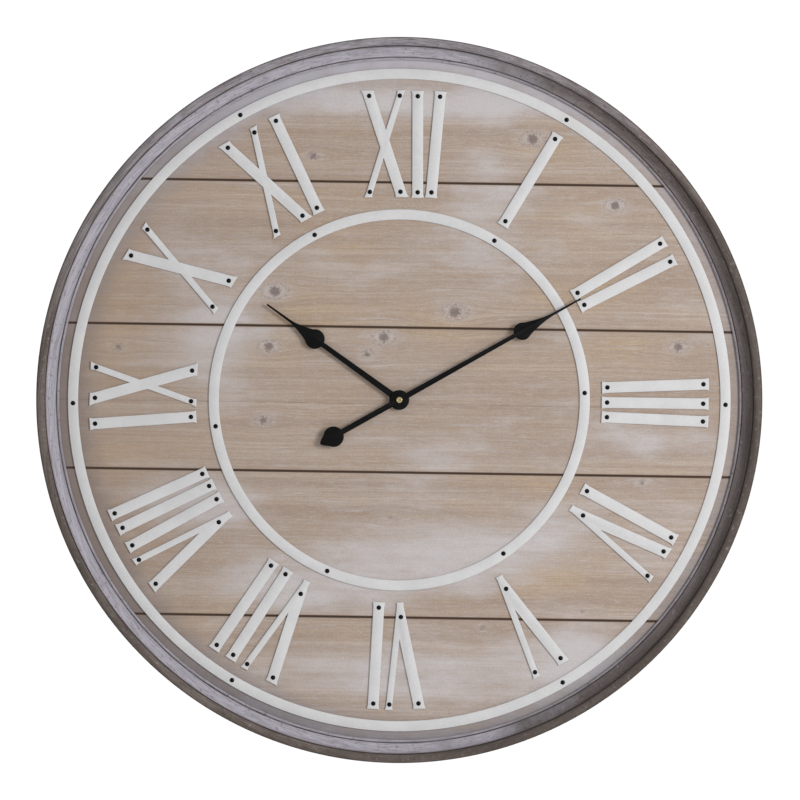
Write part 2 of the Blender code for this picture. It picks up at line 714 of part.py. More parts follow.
def minute_hand_outline():
    reach = BULB_REACH * MINUTE_BULB_RADIUS * 1.25
    needle_start = MINUTE_BULB_PLACE + reach

    def half_width(y):
        if y >= needle_start:
            share = (y - needle_start) / (MINUTE_LENGTH - needle_start)
            return NEEDLE[0] + (NEEDLE[1] - NEEDLE[0]) * share
        bulb = drop_half_width(y, MINUTE_BULB_PLACE, MINUTE_BULB_RADIUS, reach, BULB_SHARPNESS, NEEDLE[0])
        tail = drop_half_width(-y, TAIL_PLACE, TAIL_RADIUS, TAIL_REACH, TAIL_SHARPNESS, 0)
        if y < -TAIL_PLACE or y > MINUTE_BULB_PLACE:
            arm = 0
        else:
            arm = MINUTE_ARM[0] + (MINUTE_ARM[1] - MINUTE_ARM[0]) * max(y, 0) / MINUTE_BULB_PLACE
        return max(round_half_width(y, 0, MINUTE_HUB_RADIUS), arm, bulb, tail)

    hub = round_stations(0, MINUTE_HUB_RADIUS, MINUTE_ARM[0], 16)
    bulb = round_stations(MINUTE_BULB_PLACE, MINUTE_BULB_RADIUS, MINUTE_ARM[1], 16)
    tail = [-y for y in round_stations(TAIL_PLACE, TAIL_RADIUS, MINUTE_ARM[0], 16)]
    point = [-TAIL_PLACE - TAIL_REACH * share for share in (0.35, 0.55, 0.75, 0.9, 1)]
    run_out = [MINUTE_BULB_PLACE + reach * share for share in (0.3, 0.45, 0.6, 0.75, 0.9, 1)]
    stations = (
        point
        + [y for y in tail if y > point[0]]
        + hub
        + [y for y in bulb if y < run_out[0]]
        + run_out
        + [MINUTE_LENGTH]
    )
    return hand_outline(half_width, stations)


def build_hands():
    hands = (
        ("hour_hand", hour_hand_outline(), HOUR_TUBE_RADIUS, HOUR_HAND_BACK, HOUR_SHOWN),
        ("minute_hand", minute_hand_outline(), ARBOR_RADIUS, MINUTE_HAND_BACK, MINUTE_SHOWN),
    )
    for name, outline, shaft, back, shown in hands:
        hole = circle(shaft + FIT_GAP, SHAFT_STEPS)
        mesh = flat_mesh(name, [outline, hole], back, back + HAND_SHEET)
        place(name, mesh, BLACK_METAL, turn=-math.radians(shown))
    hole = ARBOR_RADIUS + FIT_GAP
    profile = band(hole, hole + MINUTE_NUT_WALL, MINUTE_NUT_BACK, MINUTE_NUT_BACK + MINUTE_NUT_THICKNESS)
    turn(place("minute_nut", turned_mesh("minute_nut", profile), BRASS), SHAFT_STEPS)


# What clamps the movement to the dial -----------------------------------------------------


def build_clamp():
    rubber_back = DIAL_BACK - SEAT_GAP - RUBBER_THICKNESS
    nut_back = DIAL_FACE + SEAT_GAP
    flange_front = CASE_INSIDE - SEAT_GAP
    flange_back = flange_front - BUSH_FLANGE_THICKNESS
    rubber = band(CLAMP_HOLE, BUSH_RADIUS + RUBBER_WIDTH, rubber_back, rubber_back + RUBBER_THICKNESS)
    turn(place("rubber_washer", turned_mesh("rubber_washer", rubber), RUBBER), SHAFT_STEPS)
    mesh = flat_mesh(
        "dial_nut",
        [circle(BUSH_RADIUS + NUT_WIDTH, 6), circle(CLAMP_HOLE, SHAFT_STEPS)],
        nut_back,
        nut_back + NUT_THICKNESS,
    )
    place("dial_nut", mesh, BRASS)
    bush = [
        (BUSH_BORE, BUSH_END),
        (BUSH_RADIUS, BUSH_END),
        (BUSH_RADIUS, flange_front),
        (BUSH_RADIUS + BUSH_FLANGE, flange_front),
        (BUSH_RADIUS + BUSH_FLANGE, flange_back),
        (BUSH_BORE, flange_back),
    ]
    turn(place("threaded_bush", turned_mesh("threaded_bush", bush), BRASS), SHAFT_STEPS)


# Gears ----------------------------------------------------------------------------------


def gear_outline(teeth, module, tooth):
    """Straight-sided teeth, the first of them on the X axis."""
    pitch = 2 * math.pi / teeth
    root = module * (teeth / 2 - DEDENDUM)
    tip = module * (teeth / 2 + ADDENDUM)
    corners = ((root, -tooth[0]), (tip, -tooth[1]), (tip, tooth[1]), (root, tooth[0]))
    points = []
    for number in range(teeth):
        for radius, share in corners:
            angle = pitch * (number + share)
            points.append((radius * math.cos(angle), radius * math.sin(angle)))
    return points


def meshed_turn(place_a, teeth_a, turn_a, place_b, teeth_b):
    """How far gear b is turned so that a gap of it meets a tooth of gear a."""
    line = math.atan2(place_b[1] - place_a[1], place_b[0] - place_a[0])
    pitches = teeth_a * (line - turn_a) / (2 * math.pi)
    return line + math.pi + (pitches + 0.5) * 2 * math.pi / teeth_b


def shared_module(distance, teeth_a, teeth_b):
    return 2 * distance / (teeth_a + teeth_b)


MODULES = {
    "third": shared_module(TRAIN_DISTANCE, CENTRE_TEETH, TRAIN_PINION_TEETH),
    "fourth": shared_module(TRAIN_DISTANCE, THIRD_TEETH, TRAIN_PINION_TEETH),
    "fifth": shared_module(TRAIN_DISTANCE, FOURTH_TEETH, TRAIN_PINION_TEETH),
    "rotor": shared_module(ROTOR_DISTANCE, FIFTH_TEETH, TRAIN_PINION_TEETH),
    "motion": shared_module(MOTION_DISTANCE, CANNON_TEETH, MOTION_TEETH),
    "hour": shared_module(MOTION_DISTANCE, MOTION_PINION_TEETH, HOUR_TEETH),
}
AXIS = (0, 0)
THIRD_PLACE = polar(TRAIN_DISTANCE, THIRD_DIRECTION)
FIFTH_PLACE = polar(TRAIN_DISTANCE, FIFTH_DIRECTION)
ROTOR_PLACE = polar(ROTOR_DISTANCE, ROTOR_DIRECTION, FIFTH_PLACE)
MOTION_PLACE = polar(MOTION_DISTANCE, MOTION_DIRECTION)
KNOB_PLACE = polar(
    MODULES["motion"] * (MOTION_TEETH + KNOB_TEETH) / 2, KNOB_DIRECTION, MOTION_PLACE
)

STATOR_HOLE = MAGNET_RADIUS + STATOR_AIR_GAP
COIL_X = ROTOR_PLACE[0] - STATOR_HOLE - 2 * SEAT_GAP - COIL_RADIUS

# The case is as wide as its battery or its coil needs, and reaches down past the battery bay
BATTERY_NEED = (BATTERY_LENGTH + BATTERY_NUB_LENGTH) / 2 + CONTACT_GAP + CONTACT_THICKNESS + SEAT_GAP
COIL_NEED = COIL_RADIUS + SEAT_GAP - COIL_X
CASE_HALF = max(BATTERY_NEED, COIL_NEED) + CASE_WALL
BAY_TOP = -MOTION_DISTANCE + END_PLAY - GEAR_ROOM - BAY_DIVIDER
CASE_FOOT = BAY_TOP - 2 * (BATTERY_RADIUS + BAY_CLEARANCE) - CASE_WALL


def layer(depth):
    """The heights (back, front) of a wheel that lies this deep in the case."""
    front = CASE_INSIDE - depth
    return front - WHEEL_THICKNESS, front


def over(depth):
    """The heights of a pinion that meshes with the wheel at this depth."""
    back, front = layer(depth)
    return back - PINION_OVERHANG, front + PINION_OVERHANG


def gear(name, material, spot, spin, wheel, joined):
    """A toothed wheel with its pinion, arbor or tube joined to it as one moulding.

    wheel is (teeth, module, tooth, back, front); joined are cutter pieces to unite with it.
    """
    teeth, module, tooth, back, front = wheel
    mesh = flat_mesh(name, [gear_outline(teeth, module, tooth)], back, front)
    piece = place(name, mesh, material, (*spot, 0), spin)
    for other in joined:
        boolean(piece, other, "UNION")
    return piece


def pinion(name, spot, spin, teeth, module, back, front):
    mesh = flat_mesh(name, [gear_outline(teeth, module, PINION_TOOTH)], back, front)
    return place(name, mesh, None, (*spot, 0), spin)


def shaft(name, spot, profile, steps=PIVOT_STEPS):
    return turn(place(name, turned_mesh(name, profile), None, (*spot, 0)), steps)


def build_train():
    """Rotor, fifth, fourth, third and centre wheels, and the hands' arbor.

    The centre wheel turns on the arbor between the cannon pinion and a collar, where a clutch
    spring takes it along, so that the hands can be set without turning the train.
    """
    wheel_back = layer(CENTRE_LAYER)[0]
    arbor_back = wheel_back - END_PLAY - COLLAR_THICKNESS
    bore_end = arbor_back + ARBOR_BORE
    arbor_profile = [
        (0, ARBOR_END),
        (ARBOR_RADIUS, ARBOR_END),
        (ARBOR_RADIUS, wheel_back - END_PLAY),
        (COLLAR_RADIUS, wheel_back - END_PLAY),
        (COLLAR_RADIUS, arbor_back),
        (0, arbor_back),
    ]
    arbor = gear(
        "minute_arbor", BRASS, AXIS, 0,
        (CANNON_TEETH, MODULES["motion"], PINION_TOOTH, *over(MOTION_LAYER)),
        (shaft("arbor_shaft", AXIS, arbor_profile, ARBOR_STEPS),),
    )
    bore = rod_mesh("arbor_bore", PIVOT_HOLE, arbor_back - END_PLAY, bore_end, PIVOT_STEPS)
    boolean(arbor, place("arbor_bore", bore), "DIFFERENCE")

    centre_turn = 0.0
    outlines = [
        gear_outline(CENTRE_TEETH, MODULES["third"], WHEEL_TOOTH),
        circle(ARBOR_RADIUS + RUNNING_GAP, SHAFT_STEPS),
    ]
    place("centre_wheel", flat_mesh("centre_wheel", outlines, *layer(CENTRE_LAYER)), BRASS)

    third_turn = meshed_turn(AXIS, CENTRE_TEETH, centre_turn, THIRD_PLACE, TRAIN_PINION_TEETH)
    third_pinion = (layer(THIRD_LAYER)[1] - WHEEL_THICKNESS / 2, over(CENTRE_LAYER)[1])
    gear(
        "third_wheel", WHITE_PLASTIC, THIRD_PLACE, third_turn,
        (THIRD_TEETH, MODULES["fourth"], WHEEL_TOOTH, *layer(THIRD_LAYER)),
        (
            pinion(
                "third_pinion", THIRD_PLACE, third_turn, TRAIN_PINION_TEETH, MODULES["third"], *third_pinion
            ),
            shaft("third_arbor", THIRD_PLACE, pin(PIVOT_RADIUS, PIVOT_BACK, PIVOT_FRONT)),
        ),
    )

    fourth_turn = meshed_turn(THIRD_PLACE, THIRD_TEETH, third_turn, AXIS, TRAIN_PINION_TEETH)
    fourth_pinion = (layer(FOURTH_LAYER)[1] - WHEEL_THICKNESS / 2, over(THIRD_LAYER)[1])
    gear(
        "fourth_wheel", WHITE_PLASTIC, AXIS, fourth_turn,
        (FOURTH_TEETH, MODULES["fifth"], WHEEL_TOOTH, *layer(FOURTH_LAYER)),
        (
            pinion(
                "fourth_pinion", AXIS, fourth_turn, TRAIN_PINION_TEETH, MODULES["fourth"], *fourth_pinion
            ),
            shaft("fourth_arbor", AXIS, pin(PIVOT_RADIUS, PIVOT_BACK, bore_end - END_PLAY)),
        ),
    )

    fifth_turn = meshed_turn(AXIS, FOURTH_TEETH, fourth_turn, FIFTH_PLACE, TRAIN_PINION_TEETH)
    fifth_pinion = (over(FOURTH_LAYER)[0], layer(THIRD_LAYER)[1] - WHEEL_THICKNESS / 2)
    gear(
        "fifth_wheel", WHITE_PLASTIC, FIFTH_PLACE, fifth_turn,
        (FIFTH_TEETH, MODULES["rotor"], WHEEL_TOOTH, *layer(THIRD_LAYER)),
        (
            pinion(
                "fifth_pinion", FIFTH_PLACE, fifth_turn, TRAIN_PINION_TEETH, MODULES["fifth"], *fifth_pinion
            ),
            shaft("fifth_arbor", FIFTH_PLACE, pin(PIVOT_RADIUS, PIVOT_BACK, PIVOT_FRONT)),
        ),
    )

    rotor_turn = meshed_turn(FIFTH_PLACE, FIFTH_TEETH, fifth_turn, ROTOR_PLACE, TRAIN_PINION_TEETH)
    magnet_front = CASE_INSIDE - MAGNET_LAYER
    rotor_profile = [
        (0, PIVOT_FRONT),
        (PIVOT_RADIUS, PIVOT_FRONT),
        (PIVOT_RADIUS, magnet_front),
        (MAGNET_RADIUS, magnet_front),
        (MAGNET_RADIUS, magnet_front - MAGNET_THICKNESS),
        (PIVOT_RADIUS, magnet_front - MAGNET_THICKNESS),
        (PIVOT_RADIUS, PIVOT_BACK),
        (0, PIVOT_BACK),
    ]
    gear(
        "rotor", MAGNET, ROTOR_PLACE, rotor_turn,
        (TRAIN_PINION_TEETH, MODULES["rotor"], PINION_TOOTH, *over(THIRD_LAYER)),
        (shaft("rotor_arbor", ROTOR_PLACE, rotor_profile, 16),),
    )


def build_motion_work():
    """The twelve-to-one gears between the two hands, and the knob that sets them."""
    motion_turn = meshed_turn(AXIS, CANNON_TEETH, 0, MOTION_PLACE, MOTION_TEETH)
    motion_pinion = (layer(MOTION_LAYER)[1] - WHEEL_THICKNESS / 2, layer(HOUR_LAYER)[1] + END_PLAY)
    gear(
        "motion_wheel", WHITE_PLASTIC, MOTION_PLACE, motion_turn,
        (MOTION_TEETH, MODULES["motion"], WHEEL_TOOTH, *layer(MOTION_LAYER)),
        (
            pinion(
                "motion_pinion", MOTION_PLACE, motion_turn, MOTION_PINION_TEETH, MODULES["hour"],
                *motion_pinion
            ),
            shaft("motion_arbor", MOTION_PLACE, pin(PIVOT_RADIUS, PIVOT_BACK, PIVOT_FRONT)),
        ),
    )

    hour_turn = meshed_turn(MOTION_PLACE, MOTION_PINION_TEETH, motion_turn, AXIS, HOUR_TEETH)
    hour_back, hour_front = layer(HOUR_LAYER)
    tube_start = hour_back + WHEEL_THICKNESS / 2
    tube = place("hour_tube", rod_mesh("hour_tube", HOUR_TUBE_RADIUS, tube_start, HOUR_TUBE_END))
    hour_wheel = gear(
        "hour_wheel", WHITE_PLASTIC, AXIS, hour_turn,
        (HOUR_TEETH, MODULES["hour"], WHEEL_TOOTH, hour_back, hour_front),
        (tube,),
    )
    bore = rod_mesh("hour_bore", ARBOR_RADIUS + RUNNING_GAP, hour_back - END_PLAY, HOUR_TUBE_END + END_PLAY)
    boolean(hour_wheel, place("hour_bore", bore), "DIFFERENCE")

    knob_turn = meshed_turn(MOTION_PLACE, MOTION_TEETH, motion_turn, KNOB_PLACE, KNOB_TEETH)
    knob_front = COVER_BACK - END_PLAY
    knob_profile = [
        (0, PIVOT_FRONT),
        (PIVOT_RADIUS, PIVOT_FRONT),
        (PIVOT_RADIUS, over(MOTION_LAYER)[1] + END_PLAY),
        (KNOB_SHAFT_RADIUS, over(MOTION_LAYER)[1] + END_PLAY),
        (KNOB_SHAFT_RADIUS, knob_front),
        (KNOB_RADIUS, knob_front),
        (KNOB_RADIUS, knob_front - KNOB_THICKNESS),
        (0, knob_front - KNOB_THICKNESS),
    ]
    gear(
        "set_knob", BLACK_PLASTIC, KNOB_PLACE, knob_turn,
        (KNOB_TEETH, MODULES["motion"], PINION_TOOTH, *over(MOTION_LAYER)),
        (shaft("knob_shaft", KNOB_PLACE, knob_profile, KNOB_STEPS),),
    )


# Case, battery and motor ------------------------------------------------------------------


def build_case():
    case_low = (-CASE_HALF, CASE_FOOT, CASE_BACK)
    case_high = (CASE_HALF, CASE_HEAD, CASE_FRONT)
    case = place("movement_case", box_mesh("movement_case", case_low, case_high), BLACK_PLASTIC)
    bm = bmesh.new()
    bm.from_mesh(case.data)
    upright = [edge for edge in bm.edges if abs(edge.verts[0].co.z - edge.verts[1].co.z) > CASE_WALL]
    bmesh.ops.bevel(
        bm, geom=upright, offset=CASE_CORNER, offset_type="OFFSET", segments=2, profile=0.5, affect="EDGES"
    )
    bm.to_mesh(case.data)
    bm.free()
    behind = CASE_BACK - CASE_WALL
    inside = CASE_HALF - CASE_WALL
    cavity_low = (-inside, BAY_TOP + BAY_DIVIDER, behind)
    cavity_high = (inside, CASE_HEAD - CASE_WALL, CASE_INSIDE)
    cavity = box_mesh("gear_cavity", cavity_low, cavity_high)
    bay_low = (-inside, CASE_FOOT + CASE_WALL, behind)
    bay = box_mesh("battery_bay", bay_low, (inside, BAY_TOP, CASE_INSIDE))
    bush_hole = rod_mesh("case_hole", CLAMP_HOLE, CASE_INSIDE - CASE_WALL, CASE_FRONT + CASE_WALL)
    for name, mesh in (("gear_cavity", cavity), ("battery_bay", bay), ("case_hole", bush_hole)):
        boolean(case, place(name, mesh), "DIFFERENCE")

    cover_low = (-CASE_HALF, BAY_TOP, COVER_BACK)
    cover_high = (CASE_HALF, CASE_HEAD, COVER_INSIDE)
    cover = place("rear_cover", box_mesh("rear_cover", cover_low, cover_high), BLACK_PLASTIC)
    hole_radius = KNOB_SHAFT_RADIUS + RUNNING_GAP
    knob_hole_mesh = rod_mesh(
        "knob_hole", hole_radius, COVER_BACK - CASE_WALL, COVER_INSIDE + CASE_WALL, PIVOT_STEPS
    )
    boolean(cover, place("knob_hole", knob_hole_mesh, location=(*KNOB_PLACE, 0)), "DIFFERENCE")

    both_ends = {
        "third": THIRD_PLACE, "fifth": FIFTH_PLACE, "rotor": ROTOR_PLACE, "motion": MOTION_PLACE
    }
    case_pivots = {**both_ends, "knob": KNOB_PLACE}
    hole_end = PIVOT_FRONT + END_PLAY / 2
    for name, spot in case_pivots.items():
        mesh = rod_mesh(f"case_pivot_{name}", PIVOT_HOLE, CASE_INSIDE - CASE_WALL, hole_end, PIVOT_STEPS)
        boolean(case, place(f"case_pivot_{name}", mesh, location=(*spot, 0)), "DIFFERENCE")
    cover_pivots = {**both_ends, "fourth": AXIS}
    hole_end = PIVOT_BACK - END_PLAY / 2
    for name, spot in cover_pivots.items():
        mesh = rod_mesh(f"cover_pivot_{name}", PIVOT_HOLE, hole_end, COVER_INSIDE + CASE_WALL, PIVOT_STEPS)
        boolean(cover, place(f"cover_pivot_{name}", mesh, location=(*spot, 0)), "DIFFERENCE")


def build_battery():
    """The cell lies across the foot of the case, between its two contacts."""
    inside = CASE_HALF - CASE_WALL
    middle = CASE_FOOT + CASE_WALL + BAY_CLEARANCE + BATTERY_RADIUS
    depth = CASE_INSIDE - SEAT_GAP - BATTERY_RADIUS
    half = BATTERY_LENGTH / 2
    edge = BATTERY_RADIUS * 0.1
    profile = [
        (0, half + BATTERY_NUB_LENGTH),
        (BATTERY_NUB_RADIUS, half + BATTERY_NUB_LENGTH),
        (BATTERY_NUB_RADIUS, half),
        (BATTERY_RADIUS - edge, half),
        (BATTERY_RADIUS, half - edge),
        (BATTERY_RADIUS, -half + edge),
        (BATTERY_RADIUS - edge, -half),
        (0, -half),
    ]
    cell = turn(place("battery", turned_mesh("battery", profile), CELL_WRAP), SHAFT_STEPS)
    cell.location = (-BATTERY_NUB_LENGTH / 2, middle, depth)
    cell.rotation_euler = (0, math.pi / 2, 0)
    reach = inside - SEAT_GAP
    for name, side in (("contact_positive", 1), ("contact_negative", -1)):
        ends = sorted((side * reach, side * (reach - CONTACT_THICKNESS)))
        mesh = box_mesh(
            name,
            (ends[0], middle - CONTACT_SIZE / 2, depth - CONTACT_SIZE / 2),
            (ends[1], middle + CONTACT_SIZE / 2, depth + CONTACT_SIZE / 2),
        )
        place(name, mesh, STEEL)


def build_motor():
    """A stator around the rotor's magnet, with the coil in its jaws, and the circuit board."""
    hole = STATOR_HOLE
    magnet_middle = CASE_INSIDE - MAGNET_LAYER - MAGNET_THICKNESS / 2
    right = ROTOR_PLACE[0] + hole + STATOR_WEB
    jaw = COIL_X + COIL_RADIUS + SEAT_GAP
    left = COIL_X - COIL_CORE_RADIUS / 2
    coil_y = ROTOR_PLACE[1] + STATOR_ARM / 2
    inner = COIL_LENGTH / 2 + SEAT_GAP
    outer = inner + STATOR_ARM
    outline = [
        (left, coil_y - outer), (right, coil_y - outer), (right, coil_y + outer), (left, coil_y + outer),
        (left, coil_y + inner), (jaw, coil_y + inner), (jaw, coil_y - inner), (left, coil_y - inner),
    ]
    low = magnet_middle - WHEEL_THICKNESS / 2
    opening = circle(hole, SHAFT_STEPS, ROTOR_PLACE)
    mesh = flat_mesh("stator", [outline, opening], low, low + WHEEL_THICKNESS)
    place("stator", mesh, STEEL)

    half = COIL_LENGTH / 2
    winding_end = half - COIL_FLANGE
    profile = [
        (0, half),
        (COIL_RADIUS, half),
        (COIL_RADIUS, winding_end),
        (COIL_CORE_RADIUS, winding_end),
        (COIL_CORE_RADIUS, -winding_end),
        (COIL_RADIUS, -winding_end),
        (COIL_RADIUS, -half),
        (0, -half),
    ]
    coil = turn(place("coil", turned_mesh("coil", profile), COPPER), SHAFT_STEPS)
    coil.location = (COIL_X, coil_y, CASE_INSIDE - SEAT_GAP - COIL_RADIUS)
    coil.rotation_euler = (math.pi / 2, 0, 0)

    right = CASE_HALF - CASE_WALL - SEAT_GAP
    head = CASE_HEAD - CASE_WALL - SEAT_GAP
    front = CASE_INSIDE - SEAT_GAP
    mesh = box_mesh(
        "circuit_board",
        (right - BOARD_SIZE[0], head - BOARD_SIZE[1], front - BOARD_THICKNESS),
        (right, head, front),
    )
    place("circuit_board", mesh, CIRCUIT)


build_frame()
build_dial()
build_rings()
build_numerals()
build_hands()
build_clamp()
build_train()
build_motion_work()
build_case()
build_battery()
build_motor()
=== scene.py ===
# %% [markdown]
# # A plank wall clock, finished and lit
# The clock's solids come ready made: a turned frame, five planks, metal rings and numerals,
# hands, and a battery movement. This lesson gives them what solids lack, which is eased edges,
# nails and screws, limed wood, worn stain and enamel, and then sets them up in a plain studio.
# Everything is in metres. The dial faces -Y, twelve is at +Z, and the hands turn about Y.

# %% Load the clock
import json
import math

import bpy
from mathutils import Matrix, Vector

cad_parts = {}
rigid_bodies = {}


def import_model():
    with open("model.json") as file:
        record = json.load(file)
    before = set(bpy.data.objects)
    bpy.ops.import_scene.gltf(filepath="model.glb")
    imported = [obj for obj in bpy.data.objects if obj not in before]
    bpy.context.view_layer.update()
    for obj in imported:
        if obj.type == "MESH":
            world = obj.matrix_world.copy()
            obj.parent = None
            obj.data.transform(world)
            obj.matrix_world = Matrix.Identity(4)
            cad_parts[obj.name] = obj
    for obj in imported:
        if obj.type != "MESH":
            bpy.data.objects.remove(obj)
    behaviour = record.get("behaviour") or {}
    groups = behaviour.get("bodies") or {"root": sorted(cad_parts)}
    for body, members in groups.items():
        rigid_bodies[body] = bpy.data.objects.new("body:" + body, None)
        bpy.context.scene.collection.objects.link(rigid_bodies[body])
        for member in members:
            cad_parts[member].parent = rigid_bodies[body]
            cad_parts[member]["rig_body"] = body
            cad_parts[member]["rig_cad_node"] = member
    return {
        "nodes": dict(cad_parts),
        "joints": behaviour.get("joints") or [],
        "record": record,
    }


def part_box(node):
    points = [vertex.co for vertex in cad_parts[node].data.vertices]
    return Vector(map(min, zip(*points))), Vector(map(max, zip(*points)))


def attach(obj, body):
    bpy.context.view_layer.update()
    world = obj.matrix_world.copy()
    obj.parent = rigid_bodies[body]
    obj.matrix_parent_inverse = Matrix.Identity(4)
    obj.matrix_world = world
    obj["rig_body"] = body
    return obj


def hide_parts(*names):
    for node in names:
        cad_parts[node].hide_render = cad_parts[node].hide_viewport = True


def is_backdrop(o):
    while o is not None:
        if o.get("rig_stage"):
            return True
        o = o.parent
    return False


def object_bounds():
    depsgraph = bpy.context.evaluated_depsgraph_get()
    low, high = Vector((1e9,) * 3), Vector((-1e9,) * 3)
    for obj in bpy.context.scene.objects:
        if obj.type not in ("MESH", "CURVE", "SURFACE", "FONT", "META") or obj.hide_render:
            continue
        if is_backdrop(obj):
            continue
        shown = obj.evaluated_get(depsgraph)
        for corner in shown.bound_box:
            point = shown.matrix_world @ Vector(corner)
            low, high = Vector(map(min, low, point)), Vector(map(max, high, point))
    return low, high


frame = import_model()
solid_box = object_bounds()
MM = 0.001

# %% [markdown]
# ## Working by hand in code
# An operator acts on whatever is selected, so each job starts by selecting nothing. Edit mode
# has its own selection, which is made here by asking each face or edge where it lies.

# %% Selecting and finishing
def select_only(*pieces):
    if bpy.context.object and bpy.context.object.mode != "OBJECT":
        bpy.ops.object.mode_set(mode="OBJECT")
    bpy.ops.object.select_all(action="DESELECT")
    for piece in pieces:
        piece.select_set(True)
    if pieces:
        bpy.context.view_layer.objects.active = pieces[0]


def edit(piece, whole=True):
    """Opens a piece in edit mode with all of it selected, or none of it."""
    select_only(piece)
    bpy.ops.object.mode_set(mode="EDIT")
    bpy.ops.mesh.select_mode(type="VERT")
    bpy.ops.mesh.select_all(action="SELECT" if whole else "DESELECT")


def settle(piece, name, smooth_below=35):
    """Leaves edit mode, puts the piece's origin at the world's and smooths its soft edges."""
    select_only(piece)
    bpy.ops.object.transform_apply(location=True, rotation=True, scale=True)
    bpy.ops.object.shade_smooth_by_angle(angle=math.radians(smooth_below))
    piece.name = name
    piece.data.name = name
    return piece


def tell(piece, words):
    print(f"{piece.name}: {words}, {len(piece.data.polygons)} faces")


# %% [markdown]
# A turned piece starts as a single point. The point is drawn along the profile by extruding it
# again and again, and the drawn line is spun round the clock's axis. A real frame is turned
# the same way, by one cutter profile going once round the ring.

# %% Turning a profile
def turned(name, profile, steps, smooth_below=35, closed=True):
    """Spins a profile of (radius, y) points about the Y axis. One that isn't closed starts and
    ends on the axis."""
    select_only()
    start = profile[0]
    bpy.ops.mesh.primitive_plane_add(size=MM, location=(start[0], start[1], 0))
    piece = bpy.context.object
    edit(piece)
    bpy.ops.mesh.merge(type="CENTER")
    for here, there in zip(profile, profile[1:] + profile[:1] * closed):
        step = (there[0] - here[0], there[1] - here[1], 0)
        bpy.ops.mesh.extrude_region_move(TRANSFORM_OT_translate={"value": step})
    bpy.ops.mesh.select_all(action="SELECT")
    bpy.ops.mesh.remove_doubles(threshold=0.001 * MM)
    bpy.ops.mesh.spin(steps=steps, angle=2 * math.pi, center=(0, 0, 0), axis=(0, 1, 0))
    bpy.ops.mesh.select_all(action="SELECT")
    bpy.ops.mesh.remove_doubles(threshold=0.001 * MM)
    bpy.ops.mesh.normals_make_consistent(inside=False)
    settle(piece, name, smooth_below)
    tell(piece, f"turned from {len(profile)} points")
    return piece


# %% [markdown]
# Sheet metal and moulded parts have edges that are never quite sharp, and the thin bright line
# along them is what makes them look real. A solid's mesh is loose triangles, so its copy is
# first welded and its flat faces joined, and then every sharp edge is rounded over.

# %% Easing the edges of a copy
def eased(node, name, width, steps=2, sharp=30):
    """A copy of a solid with its sharp edges rounded, standing for that solid."""
    solid = frame["nodes"][node]
    body = solid["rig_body"]
    select_only(solid)
    bpy.ops.object.duplicate()
    piece = bpy.context.object
    bpy.ops.object.parent_clear(type="CLEAR_KEEP_TRANSFORM")
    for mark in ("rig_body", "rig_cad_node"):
        del piece[mark]
    edit(piece)
    bpy.ops.mesh.remove_doubles(threshold=0.002 * MM)
    bpy.ops.mesh.dissolve_limited(angle_limit=math.radians(1))
    bpy.ops.mesh.select_all(action="DESELECT")
    bpy.ops.mesh.select_mode(type="EDGE")
    bpy.ops.mesh.edges_select_sharp(sharpness=math.radians(sharp))
    bpy.ops.mesh.bevel(offset=width, segments=steps, affect="EDGES", clamp_overlap=True)
    settle(piece, name)
    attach(piece, body)
    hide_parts(node)
    return piece


# %% [markdown]
# ## Writing materials
# A material is a small calculation made for every point of a surface. Its nodes are easier to
# read as sums, so a wire between two nodes is wrapped in a class that knows + - * and /, and
# each of these adds a Math node. All other nodes come from one method.

# %% A wire that can be calculated with
class Wire:
    """The output of a node. Arithmetic on it adds a Math node and gives that node's output."""

    def __init__(self, finish, socket):
        self.finish = finish
        self.socket = socket

    def math(self, operation, first, second=0.0):
        return self.finish.node("ShaderNodeMath", {"operation": operation}, {0: first, 1: second})

    def __add__(self, other):
        return self.math("ADD", self, other)

    def __sub__(self, other):
        return self.math("SUBTRACT", self, other)

    def __rsub__(self, other):
        return self.math("SUBTRACT", other, self)

    def __mul__(self, other):
        return self.math("MULTIPLY", self, other)

    def __truediv__(self, other):
        return self.math("DIVIDE", self, other)

    def __pow__(self, power):
        return self.math("POWER", self, power)

    __radd__ = __add__
    __rmul__ = __mul__


# %% A material in the making
def shade(red, green, blue):
    """A colour as a paint chart gives it, from 0 to 255, as the light it sends back."""
    return tuple((value / 255) ** 2.2 for value in (red, green, blue)) + (1,)


